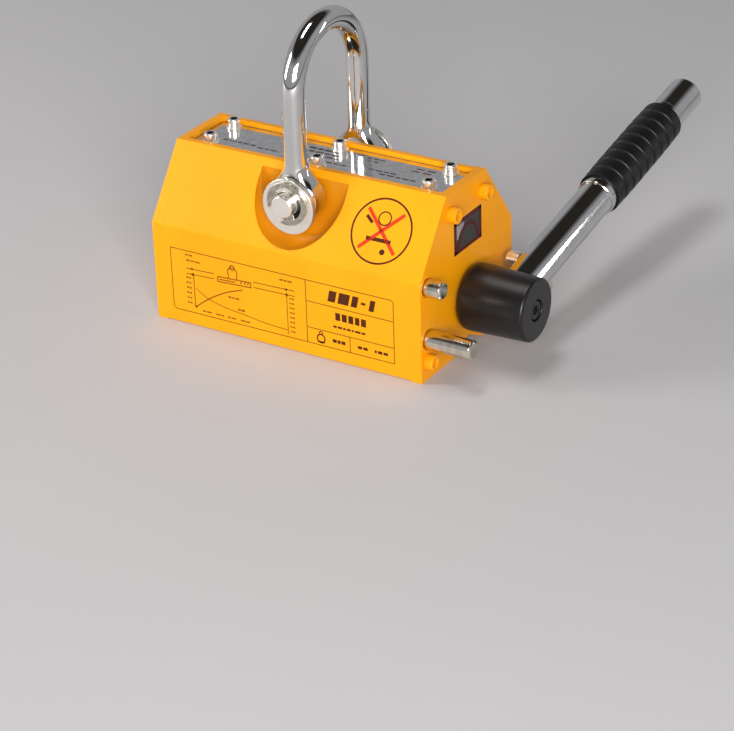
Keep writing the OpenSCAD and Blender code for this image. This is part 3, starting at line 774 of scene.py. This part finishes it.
shackle_low, shackle_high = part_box("shackle")
EYE_R = (shackle_high.x - shackle_low.x) / 2
LEG_R = 6 * MM
EYE_HALF = 5.5 * MM
LEG_AT = shackle_high.y - LEG_R
BOW_Z = shackle_high.z - LEG_AT - LEG_R - PIN_AT.z
FLARE_R = 16 * MM
FLARE_X = LEG_R + FLARE_R
FLARE_RISE = math.sqrt((EYE_R + FLARE_R) ** 2 - FLARE_X ** 2)
EYE_EDGE = 1.5 * MM
BLEND_LOW = 4.5 * MM
BLEND_HIGH = 17.5 * MM
SECTION_STEPS = 9
EYE_ANGLES = range(0, 133, 4)  # degrees up from the lowest point of the eye
FLARE_STEPS = 14
LEG_STEPS = 6
BOW_STEPS = 60


def ease(t):
    """A smooth step from 0 to 1."""
    t = min(1.0, max(0.0, t))
    return t * t * (3 - 2 * t)


def half_width(h, depth):
    """Half the width of the shackle at height h, measured depth inside its outline."""
    if h <= (EYE_R - depth) * FLARE_RISE / (EYE_R + FLARE_R):
        return math.sqrt(max(0.0, (EYE_R - depth) ** 2 - h * h))
    if h < FLARE_RISE:
        return max(0.0, FLARE_X - math.sqrt(max(0.0, (FLARE_R + depth) ** 2
                                                - (FLARE_RISE - h) ** 2)))
    return max(0.0, LEG_R - depth)


def section(h):
    """The closed outline of the shackle's section at height h over the pin: (x, y) points."""
    blend_t = ease((h - BLEND_LOW) / (BLEND_HIGH - BLEND_LOW))
    half = EYE_HALF + (LEG_R - EYE_HALF) * blend_t
    edge = EYE_EDGE + (LEG_R - EYE_EDGE) * blend_t
    deepest = min(edge, max(0.0, EYE_R + h)) if h < 0 else edge
    last = math.acos(1 - deepest / edge)
    quarter = []
    for k in range(SECTION_STEPS + 1):
        a = last * k / SECTION_STEPS
        quarter.append((half_width(h, edge * (1 - math.cos(a))),
                        half - edge + edge * math.sin(a)))
    loop = quarter + [(-x, y) for x, y in reversed(quarter)]
    loop += [(-x, -y) for x, y in loop]
    return loop


def shackle_section(bm, h, centre, outward):
    """One ring of the shackle. outward is the direction of the section's thickness."""
    return [bm.verts.new(centre + X * x + outward * y) for x, y in section(h)]


heights = [-EYE_R * math.cos(math.radians(a)) for a in EYE_ANGLES]
flare_start = math.asin(FLARE_RISE / (EYE_R + FLARE_R))
heights += [FLARE_RISE - FLARE_R * math.sin(flare_start * (1 - k / FLARE_STEPS))
            for k in range(FLARE_STEPS + 1)]
heights += [FLARE_RISE + (BOW_Z - FLARE_RISE) * k / LEG_STEPS for k in range(1, LEG_STEPS + 1)]
bm = bmesh.new()
rings = [shackle_section(bm, h, PIN_AT - Y * LEG_AT + Z * h, -Y) for h in heights]
for k in range(1, BOW_STEPS):
    a = math.pi * k / BOW_STEPS
    outward = -Y * math.cos(a) + Z * math.sin(a)
    rings.append(shackle_section(bm, BOW_Z, PIN_AT + Z * BOW_Z + outward * LEG_AT, outward))
rings += [shackle_section(bm, h, PIN_AT + Y * LEG_AT + Z * h, Y) for h in reversed(heights)]
for low, high in zip(rings, rings[1:]):
    for k in range(len(low)):
        n = (k + 1) % len(low)
        bm.faces.new([low[k], low[n], high[n], high[k]])
bm.faces.new(rings[0])
bm.faces.new(list(reversed(rings[-1])))
bmesh.ops.remove_doubles(bm, verts=bm.verts, dist=WELD)
bm = drilled(bm, pin_low, pin_high, pin_r + HIDDEN_GAP, PIN_AT, Y)
place("shackle_chrome", bm, "shackle", "chrome", CHROME, ("shackle",))


# ---------- Lever: hub, bar, sleeve, grip and slide key ----------

SLIP = 0.02 * MM  # gap between lever pieces that fit into each other
HUB_EDGE = 4.5 * MM
HUB_FACE_EDGE = 1.6 * MM
HUB_FACE_DEPTH = 2 * MM
HUB_BORE_EDGE = 0.6 * MM
HUB_SEAT_EDGE = 0.3 * MM
HUB_DRILL = 1.5  # length of the hole for the bar in hub radii, from the bar's inner end

hub_points = points_of("hub")
hub_low, hub_high, hub_r = measure("hub", X, SHAFT_AT)
hub_face_r = radius_round([p for p in hub_points if p.x > hub_high - HUB_FACE_DEPTH], X, SHAFT_AT)
bore_r = min(off_axis(p, X, SHAFT_AT) for p in hub_points if p.x > hub_high - WELD)
seat_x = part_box("hub_screw_washer")[0].x
bm = bmesh.new()
lathe(bm, rounded([(hub_low, 0, 0), (hub_low, hub_r, HUB_EDGE),
                   (hub_high, hub_face_r, HUB_FACE_EDGE), (hub_high, bore_r, HUB_BORE_EDGE),
                   (seat_x, bore_r, HUB_SEAT_EDGE), (seat_x, 0, 0)], steps=8),
      SHAFT_AT, X, sides=128)
bar_points = points_of("handle_bar")
BAR_X = middle(bar_points).x
BAR_AT = SHAFT_AT + X * BAR_X
bar_low, bar_high = reach(bar_points, BAR, BAR_AT)
bar_r = radius_round(bar_points, BAR, BAR_AT)
bm = drilled(bm, bar_low, bar_low + hub_r * HUB_DRILL, bar_r + SLIP, BAR_AT, BAR)
place("hub_black", bm, "lever", "black_hub", HUB_BLACK, ("hub",))

BAR_FOOT_EDGE = 0.4 * MM
BAR_TIP_EDGE = 1.3 * MM
BORE_PAST_SHOE = 0.7 * MM
SLOT_GAP = 0.3 * MM
SLOT_STEPS = 12
NECK_PAST_BAR = 2 * MM  # corners of the slide key deeper in the bar belong to its neck
shoe_high = reach(points_of("key_shoe"), BAR, BAR_AT)[1]
inner_r = radius_round(points_of("bar_plug"), BAR, BAR_AT)
travel = joints["key_slide"]["range_m"][1]
bore_end = shoe_high + travel + BORE_PAST_SHOE
bm = bmesh.new()
outline = [(bore_end, 0), (bore_end, inner_r), (bar_low, inner_r)]
outline += rounded([(bar_low, 0, 0), (bar_low, bar_r, BAR_FOOT_EDGE),
                    (bar_high, bar_r, BAR_TIP_EDGE), (bar_high, 0, 0)])[1:]
lathe(bm, outline, BAR_AT, BAR)
key_points = points_of("slide_key")
key_base = foot(middle(key_points), X)
neck_r = radius_round([p for p in key_points if p.x > BAR_X - bar_r + NECK_PAST_BAR], X, key_base)
slot = bmesh.new()
slot_half = neck_r + SLOT_GAP
slot_corners = []
for end, start_angle in ((0, 90), (travel, -90)):
    for k in range(SLOT_STEPS + 1):
        a = math.radians(start_angle + 180 * k / SLOT_STEPS)
        slot_corners.append((end + slot_half * math.cos(a), slot_half * math.sin(a)))
prism(slot, slot_corners, key_base + X * (BAR_X - bar_r - MM), BAR, BAR_UP, bar_r + MM)
bm = carve(bm, slot)
place("bar_chrome", bm, "lever", "chrome", CHROME, ("handle_bar",))

SLEEVE_EDGE = 0.6 * MM
sleeve_low, sleeve_high, sleeve_r = measure("grip_sleeve", BAR, BAR_AT)
sleeve_bore = bar_r + SLIP
bm = bmesh.new()
lathe(bm, rounded([(sleeve_low, sleeve_bore, 0), (sleeve_low, sleeve_r, SLEEVE_EDGE),
                   (sleeve_high, sleeve_r, SLEEVE_EDGE), (sleeve_high, sleeve_bore, 0)],
                  closed=True), BAR_AT, BAR)
place("sleeve_chrome", bm, "lever", "chrome", CHROME, ("grip_sleeve",))

grip_low, grip_high, grip_r = measure("grip", BAR, BAR_AT)
GRIP_STEPS = 308
GROOVES = 8
GROOVE_HALF = 1.0 * MM
GROOVE_DEPTH = 0.75 * MM
GROOVE_CURVE = 0.7
CROWN = 0.22 * MM
BARREL = 0.55 * MM
LIP = 1.6 * MM
LIP_RISE = BARREL * 0.8
NOSE = 0.5 * MM
grip_len = grip_high - grip_low
step = grip_len / (GROOVES + 1)


def grip_radius(d):
    """Radius of the rubber grip at a distance from its inner end."""
    t = 2 * d / grip_len - 1
    r = grip_r - BARREL * t ** 4
    place_in_step = d / step
    nearest = min(GROOVES, max(1, round(place_in_step)))
    off = abs(d - nearest * step)
    if off < GROOVE_HALF:
        r -= GROOVE_DEPTH * math.cos(math.pi / 2 * off / GROOVE_HALF) ** GROOVE_CURVE
    local = (place_in_step % 1.0) * 2 - 1
    r -= CROWN * abs(local) ** 3
    end = min(d, grip_len - d)
    if end < LIP:
        r += LIP_RISE * (1 - end / LIP)
    return r


grip_bore = sleeve_r + SLIP
outline = [(0.0, grip_bore)]
for k in range(GRIP_STEPS + 1):
    d = grip_len * k / GRIP_STEPS
    edge = min(d, grip_len - d)
    tuck = NOSE - math.sqrt(max(0.0, NOSE ** 2 - max(0.0, NOSE - edge) ** 2))
    outline.append((d, grip_radius(d) - tuck))
outline.append((grip_len, grip_bore))
outline.append(outline[0])
bm = bmesh.new()
lathe(bm, [(grip_low + d, r) for d, r in outline], BAR_AT, BAR)
place("grip_rubber", bm, "lever", "grip_rubber", RUBBER, ("grip",))

STUD_CONE = 0.9 * MM
STUD_CONE_EDGE = 0.5 * MM
STUD_TIP_INSET = 0.8 * MM
STUD_TIP_EDGE = 0.6 * MM
STUD_FACE_EDGE = 0.3 * MM
stud_tip, key_end, stud_r = measure("slide_key", X, key_base)
stud_face = max(p.x for p in key_points if off_axis(p, X, key_base) > stud_r - WELD)
bm = bmesh.new()
lathe(bm, rounded([(stud_tip, 0, 0), (stud_tip, stud_r - STUD_TIP_INSET, STUD_TIP_EDGE),
                   (stud_tip + STUD_CONE, stud_r, STUD_CONE_EDGE),
                   (stud_face, stud_r, STUD_FACE_EDGE), (stud_face, neck_r, 0),
                   (key_end, neck_r, 0), (key_end, 0, 0)]), key_base, X)
place("slide_key_steel", bm, "slide_key", "zinc_steel", ZINC, ("slide_key",))


# ---------- Prints, labels and a painted shadow line ---

MARK_T = 0.05 * MM
DOT_HOLE = 0.0001  # inner radius of a dot in millimetres
CURVE_STEPS = 5
RING_STEP = 6  # degrees

# Every print, and the painted shadow line, lies on a sheet: its origin and its two directions. The
# marks are in millimetres.


def bar_marks(bm, sheet, width, bars):
    """Straight printed lines of one width, each between two points."""
    for start, end in bars:
        a = Vector(start) * MM
        b = Vector(end) * MM
        side = Vector((a.y - b.y, b.x - a.x)).normalized() * width * MM / 2
        prism(bm, [a - side, b - side, b + side, a + side], *sheet, MARK_T)


def curve_mark(bm, sheet, points, width):
    """A smooth printed line through points."""
    smooth = []
    count = len(points)
    for i in range(count - 1):
        p = [Vector(points[min(count - 1, max(0, i + k))]) for k in (-1, 0, 1, 2)]
        for k in range(CURVE_STEPS):
            t = k / CURVE_STEPS
            smooth.append(p[1] + (p[2] - p[0]) * t / 2
                          + (p[0] * 2 - p[1] * 5 + p[2] * 4 - p[3]) * t * t / 2
                          + (p[1] * 3 - p[0] - p[2] * 3 + p[3]) * t ** 3 / 2)
    smooth.append(Vector(points[-1]))
    strip = []
    for i, here in enumerate(smooth):
        along = smooth[min(len(smooth) - 1, i + 1)] - smooth[max(0, i - 1)]
        side = Vector((-along.y, along.x)).normalized() * width / 2
        strip.append(((here + side) * MM, (here - side) * MM))
    for (a, b), (d, c) in zip(strip, strip[1:]):
        prism(bm, [a, b, c, d], *sheet, MARK_T)


def ring_mark(bm, sheet, centre, r_in, r_out, start=0, end=360):
    """A printed ring or the part of one between two angles in degrees."""
    steps = max(4, round((end - start) / RING_STEP))
    for k in range(steps):
        a = math.radians(start + (end - start) * k / steps)
        b = math.radians(start + (end - start) * (k + 1) / steps)
        quad = [(centre[0] + r * math.cos(t), centre[1] + r * math.sin(t))
                for r, t in ((r_in, a), (r_out, a), (r_out, b), (r_in, b))]
        prism(bm, [(x * MM, y * MM) for x, y in quad], *sheet, MARK_T)


def word_marks(bm, sheet, rows, slant=0.0):
    """Rows of plain blocks that stand in for words, with no letters in them.

    A row has its start, the widths of its blocks, their height and the gap between them.
    """
    for (x, y), widths, height, gap in rows:
        for width in widths:
            outline = [(x, y), (x + width, y), (x + width + slant, y + height),
                       (x + slant, y + height)]
            prism(bm, [(a * MM, b * MM) for a, b in outline], *sheet, MARK_T)
            x += width + gap


def laid_mark(name, bm, material):
    """A thin mark that rides on the housing: a print, and on the top plate also a painted shadow
    line.
    """
    place(name, bm, "housing", "label", material)


# Front face: a ruled panel with a load chart on the left and three rows on the right
FRONT = (Y * FRONT_Y, X, Z)
LEFT = -70.3
RIGHT = 65.2
BOTTOM = 7.6
TOP = 43.0
CUT = 1.5  # the panel's lower left corner is cut off
NICK = 1  # and so is its upper right corner
DIVIDER = 13.3
UPPER_ROW = 31.2
LOWER_ROW = 16.4
bm = bmesh.new()
bar_marks(bm, FRONT, 0.55, (
    ((LEFT, BOTTOM + CUT), (LEFT, TOP)), ((LEFT, TOP), (RIGHT - NICK, TOP)),
    ((RIGHT, TOP - NICK), (RIGHT, BOTTOM)), ((RIGHT, BOTTOM), (LEFT + CUT, BOTTOM)),
    ((LEFT, BOTTOM + CUT), (LEFT + CUT, BOTTOM)), ((RIGHT - NICK, TOP), (RIGHT, TOP - NICK)),
    ((DIVIDER, BOTTOM), (DIVIDER, TOP)), ((DIVIDER, UPPER_ROW), (RIGHT, UPPER_ROW)),
    ((DIVIDER, LOWER_ROW), (RIGHT, LOWER_ROW)), ((39, BOTTOM), (39, LOWER_ROW))))
bar_marks(bm, FRONT, 0.6, [((-56.4, 11.3), (-56.4, 31.0))])
bar_marks(bm, FRONT, 0.5, [((1.6, 9), (1.6, 33.0))])
for z in (31.2, 34.2):
    bar_marks(bm, FRONT, 0.55, (((-61, z - 1.4), (-43.5, z - 0.7)), ((-18.8, z), (6.5, z + 0.6))))
curve_mark(bm, FRONT, [(-55.9, 11.5), (-47.9, 17.6), (-40.2, 22.2), (-33.8, 25.2), (-25.8, 28.0)],
           0.7)
curve_mark(bm, FRONT, [(-55.4, 22.3), (-47.9, 17.9), (-40.6, 15.9), (-34.5, 14.9), (-23.4, 13.6),
                       (-13, 12.2), (1.3, 11.4)], 0.5)
for centre in ((-57.2, 33.1), (-57.0, 29.9), (1.4, 34.6), (1.6, 31.5), (-55.9, 11.5)):
    ring_mark(bm, FRONT, centre, DOT_HOLE, 0.75)
rows = [((-60.9, 40.2), [1.6, 2.2], 1.0, 0.6), ((-60.6, 37.2), [2.6, 2.0, 3.0], 0.9, 0.5)]
rows += [((-61.2, 12.6 + 2.9 * i), [1.2, 1.4], 1.0, 0.4) for i in range(6)]
rows += [((3.0, 10.6 + 2.7 * i), [1.1, 1.5], 0.9, 0.4) for i in range(8)]
rows += [((-35.0, 21.6), [2.0, 1.4, 2.4], 1.0, 0.5), ((-29.2, 15.4), [1.6, 2.2], 1.3, 0.4),
         ((-2.4, 39.0), [2.2, 1.6, 2.6], 1.0, 0.5), ((-52, 9.6), [2.2, 3.0], 0.9, 0.5),
         ((-43.5, 9.6), [2.8, 1.6], 0.9, 0.5), ((-36, 9.6), [2.0, 2.6], 0.9, 0.5),
         ((-28, 9.6), [3.0, 2.4], 0.9, 0.5)]
word_marks(bm, FRONT, rows)
# A small drawing of the magnet itself on the chart
bar_marks(bm, FRONT, 0.7, (
    ((-41, 29.6), (-20.4, 30.6)), ((-41, 32.4), (-20.4, 33.4)), ((-41, 29.4), (-41, 32.6)),
    ((-20.4, 30.4), (-20.4, 33.6)), ((-40, 31.0), (-30, 31.5)), ((-27, 31.2), (-26, 32.8)),
    ((-24.5, 31.4), (-23.5, 32.9)), ((-22.6, 31.6), (-21.6, 33.1)), ((-34.2, 34.3), (-34.2, 32.8)),
    ((-29.0, 34.3), (-29.0, 33.0))))
ring_mark(bm, FRONT, (-31.6, 36.4), 2.6, 3.3, -40, 220)
ring_mark(bm, FRONT, (-31.6, 39.4), 1.0, 1.7)
laid_mark("front_panel_lines", bm, LINE_INK)

# Right side: rows of plain blocks
bm = bmesh.new()
word_marks(bm, FRONT, [((26.3, 33.9), [4.4, 6.4, 3.6], 6.3, 1.5), ((50.6, 33.9), [3.0], 6.3, 1.0)],
           slant=1.4)
word_marks(bm, FRONT, [
    ((46.3, 36.4), [2.6], 1.4, 1.0), ((30.7, 24.1), [2.9, 2.9, 2.9, 2.6, 2.9], 4.3, 1.0),
    ((29.3, 19.7), [2.0, 2.6, 1.6, 2.4, 1.2, 3.4, 2.2], 1.2, 0.6),
    ((28.6, 11.0), [2.4, 1.8, 2.4], 1.9, 0.5), ((43.6, 11.0), [2.6, 2.6], 1.6, 0.7),
    ((53.6, 11.0), [1.2, 2.6, 2.6], 1.6, 0.7)])
ring_mark(bm, FRONT, (21.6, 11.4), 1.9, 2.7)
ring_mark(bm, FRONT, (21.6, 14.6), 0.6, 1.2)
bar_marks(bm, FRONT, 1.0, [((19.6, 9.4), (23.6, 9.4))])
laid_mark("front_panel_marks", bm, INK)

# Front slope: a plain ring with two crossed bars
SLOPE_UP = Vector((0, SLOPE_TOP - FRONT_Y, RIM_Z - SLOPE_FOOT)).normalized()
SLOPE = (Vector((0, FRONT_Y, SLOPE_FOOT)), X, SLOPE_UP)
SIGN_X = 51.6
SIGN_Y = 22.1
bm = bmesh.new()
ring_mark(bm, SLOPE, (SIGN_X, SIGN_Y), 16.2, 17.2)
bar_marks(bm, SLOPE, 2.0, [((SIGN_X - 7.4, SIGN_Y - 4.7), (SIGN_X + 6.8, SIGN_Y - 4.7))])
bar_marks(bm, SLOPE, 1.7, [((SIGN_X - 10.4, SIGN_Y + 6.4), (SIGN_X - 6.3, SIGN_Y + 3.2))])
ring_mark(bm, SLOPE, (SIGN_X, SIGN_Y + 6.5), 3.1, 3.8)
ring_mark(bm, SLOPE, (SIGN_X + 3.6, SIGN_Y - 10.3), DOT_HOLE, 1.5)
laid_mark("sign_ring", bm, INK)
bm = bmesh.new()
ARM = 14.7 * math.sqrt(0.5)
bar_marks(bm, SLOPE, 1.9, [((SIGN_X - side * ARM, SIGN_Y - ARM), (SIGN_X + side * ARM, SIGN_Y + ARM))
                           for side in (-1, 1)])
laid_mark("sign_cross", bm, RED_INK)

# Top plate: a thin dark line near the edges, which is a painted shadow line, and rows of plain blocks
PLATE_FACE = (Z * PLATE_BOX[1].z, X, Y)
SHADOW_LINE_INSET = 0.7
SHADOW_LINE_CORNER = 2.0
SHADOW_LINE_WIDTH = 0.6
shadow_line_x = PLATE_BOX[1].x / MM - SHADOW_LINE_INSET
shadow_line_y = PLATE_BOX[1].y / MM - SHADOW_LINE_INSET
straight_x = shadow_line_x - SHADOW_LINE_CORNER
straight_y = shadow_line_y - SHADOW_LINE_CORNER
bm = bmesh.new()
# A dark line inset from the plate's edges with round corners: painted shadow where the plate meets
# the rim
for side in (-1, 1):
    bar_marks(bm, PLATE_FACE, SHADOW_LINE_WIDTH, (
        ((-straight_x, side * shadow_line_y), (straight_x, side * shadow_line_y)),
        ((side * shadow_line_x, -straight_y), (side * shadow_line_x, straight_y))))
for turn, sx, sy in ((0, 1, 1), (90, -1, 1), (180, -1, -1), (270, 1, -1)):
    ring_mark(bm, PLATE_FACE, (sx * straight_x, sy * straight_y),
              SHADOW_LINE_CORNER - SHADOW_LINE_WIDTH / 2, SHADOW_LINE_CORNER + SHADOW_LINE_WIDTH / 2, turn, turn + 90)
word_marks(bm, PLATE_FACE, [
    ((-62, -5.4), [3, 4, 2.4, 3.6, 3], 1.4, 1.0), ((-40, -6.6), [3.4, 2.6, 3.8], 1.2, 1.0),
    ((-16, 6.0), [4.2, 3.0, 4.4, 3.6], 2.2, 1.0), ((-14, 2.2), [3.4, 4.4, 3.0, 4.6], 1.8, 1.0),
    ((-10, -1.2), [3.6, 2.8, 4.2, 3.2], 1.6, 1.0), ((-30, 7.0), [3.2, 2.6], 1.2, 1.0),
    ((18, 8.2), [2.6, 3.2, 2.8], 1.3, 1.0), ((20, 5.2), [2.2, 3.0], 1.2, 1.0),
    ((-2, -6.4), [3.0, 3.6, 2.6, 3.4], 1.3, 1.0), ((26, -3.8), [3.0, 4.0, 2.6, 3.4], 1.3, 1.0),
    ((34, -6.8), [3.4, 4.2, 3.0, 3.6, 2.8], 1.4, 1.0)])
laid_mark("plate_marks", bm, PLATE_INK_AND_SHADOW)
bm = bmesh.new()
word_marks(bm, PLATE_FACE, [((46.4, 4.2), [4.6, 4.6], 1.0, 2.0), ((47.4, 7.6), [4.6, 4.6], 1.0, 2.0)],
           slant=0.6)
laid_mark("plate_marks_red", bm, LABEL_RED)

# End label on the drive cover: dark field, maroon frame and arc, pale corner
label_low, label_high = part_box("end_label")
LABEL = (Vector((label_high.x, label_low.y, label_low.z)), Y, Z)
LABEL_W = (label_high.y - label_low.y) / MM
LABEL_H = (label_high.z - label_low.z) / MM
LABEL_EDGE = 0.08 * MM
bevelled("end_label_field", "end_label", "housing", "label", LABEL_FIELD,
         lambda middle_at, along: LABEL_EDGE if middle_at.x > label_high.x - WELD else 0.0,
         LABEL_EDGE, segments=2)
BORDER = 1.9
MARGIN = 0.2
near = MARGIN + BORDER / 2
bm = bmesh.new()
bar_marks(bm, LABEL, BORDER, (
    ((MARGIN, near), (LABEL_W - MARGIN, near)),
    ((MARGIN, LABEL_H - near), (LABEL_W - MARGIN, LABEL_H - near)),
    ((near, MARGIN), (near, LABEL_H - MARGIN)),
    ((LABEL_W - near, MARGIN), (LABEL_W - near, LABEL_H - MARGIN))))
ARC_AT = (13.6, 3.4)
ring_mark(bm, LABEL, ARC_AT, 8.6, 10.8, -6, 186)
laid_mark("end_label_frame", bm, LABEL_RED)
CORNER_R = 11.0
bm = bmesh.new()
corner = [(2.3, LABEL_H - 2.3), (2.3, 8.0)]
for a in range(156, 108, -6):
    corner.append((ARC_AT[0] + CORNER_R * math.cos(math.radians(a)),
                   ARC_AT[1] + CORNER_R * math.sin(math.radians(a))))
corner.append((ARC_AT[0] - 3.6, LABEL_H - 2.3))
prism(bm, [(a * MM, b * MM) for a, b in corner], *LABEL, MARK_T)
laid_mark("end_label_corner", bm, LABEL_PALE)


# ---------- Materials of the pieces that keep their CAD shape ----------

for material, kept in (
        (BRASS, ("lower_spacer", "upper_spacer", "rotor_strips")),
        (BRONZE, ("drive_bush", "blind_bush", "thrust_washers")),
        (MAGNET, ("stator_magnets", "rotor_magnets")),
        (BLACK_OXIDE_AND_SOCKET_SHADE, ("rotor_screws", "bar_grub_screw")),
        (ZINC, ("lock_spring",)),
        (STEEL, ("upper_block", "rotor_pole_a", "rotor_pole_b", "drive_flange_shaft",
                 "blind_flange_shaft", "hub_key", "bar_plug", "key_shoe"))):
    for node_name in kept:
        node = frame["nodes"][node_name]
        node.data.materials.clear()
        node.data.materials.append(material)


# ---------- Floor, light and camera ----------

FLOOR_GAP = 0.1 * MM
bm = bmesh.new()
bmesh.ops.create_grid(bm, x_segments=8, y_segments=8, size=5.0)
floor = linked("floor", bm)
floor.data.materials.append(FLOOR)
floor.location.z = cad_low.z - FLOOR_GAP

SKY = ((0.48, (0.46, 0.46, 0.48, 1)), (0.70, (0.03, 0.026, 0.022, 1)))  # height and colour
world = bpy.data.worlds.new("studio")
bpy.context.scene.world = world
world.use_nodes = True
sky = world.node_tree
background = sky.nodes["Background"]
direction = sky.nodes.new("ShaderNodeTexCoord")
split = sky.nodes.new("ShaderNodeSeparateXYZ")
walls = sky.nodes.new("ShaderNodeValToRGB")
for element, (position, colour) in zip(walls.color_ramp.elements, SKY):
    element.position = position
    element.color = colour
sky.links.new(direction.outputs["Generated"], split.inputs["Vector"])
sky.links.new(split.outputs["Z"], walls.inputs["Fac"])
sky.links.new(walls.outputs["Color"], background.inputs["Color"])
background.inputs["Strength"].default_value = 0.8
AIM = Vector((0, 0, 0.06))


def softbox(name, location, width, height, power, colour=(1, 1, 1)):
    """A rectangular studio light that points at the magnet."""
    light = bpy.data.lights.new(name, "AREA")
    light.shape = "RECTANGLE"
    light.size = width
    light.size_y = height
    light.energy = power
    light.color = colour
    lamp = bpy.data.objects.new(name, light)
    lamp.location = location
    lamp.rotation_euler = (AIM - Vector(location)).to_track_quat("-Z", "Y").to_euler()
    bpy.context.scene.collection.objects.link(lamp)


softbox("key", (1.05, -1.5, 0.70), 1.0, 0.7, 40, (1.0, 0.98, 0.95))
softbox("left", (-1.25, -0.75, 0.60), 0.40, 0.8, 12, (1.0, 0.97, 0.93))
softbox("top", (-0.3, 0.0, 1.8), 0.8, 0.4, 9)
softbox("rim", (1.35, 1.25, 0.16), 0.07, 0.8, 2.0, (0.95, 0.97, 1.0))

CAMERA_AZIMUTH = math.radians(32.314)
CAMERA_ELEVATION = math.radians(27.78)
CAMERA_ROLL = math.radians(-1.915)
CAMERA_TARGET = Vector((18.968, 0, -26.688)) * MM
CAMERA_DISTANCE = 1348.966 * MM
forward = Vector((-math.sin(CAMERA_AZIMUTH) * math.cos(CAMERA_ELEVATION),
                  math.cos(CAMERA_AZIMUTH) * math.cos(CAMERA_ELEVATION),
                  -math.sin(CAMERA_ELEVATION)))
level_right = Vector((math.cos(CAMERA_AZIMUTH), math.sin(CAMERA_AZIMUTH), 0))
level_up = level_right.cross(forward)
right_way = level_right * math.cos(CAMERA_ROLL) + level_up * math.sin(CAMERA_ROLL)
up_way = level_up * math.cos(CAMERA_ROLL) - level_right * math.sin(CAMERA_ROLL)
lens = bpy.data.cameras.new("camera")
lens.sensor_width = 36
lens.lens = 124.415
lens.clip_end = 30
camera = bpy.data.objects.new("camera", lens)
camera.matrix_world = (Matrix.Translation(CAMERA_TARGET - forward * CAMERA_DISTANCE)
                       @ Matrix((right_way, up_way, -forward)).transposed().to_4x4())
bpy.context.scene.collection.objects.link(camera)
bpy.context.scene.camera = camera
bpy.context.scene.view_settings.view_transform = "Standard"
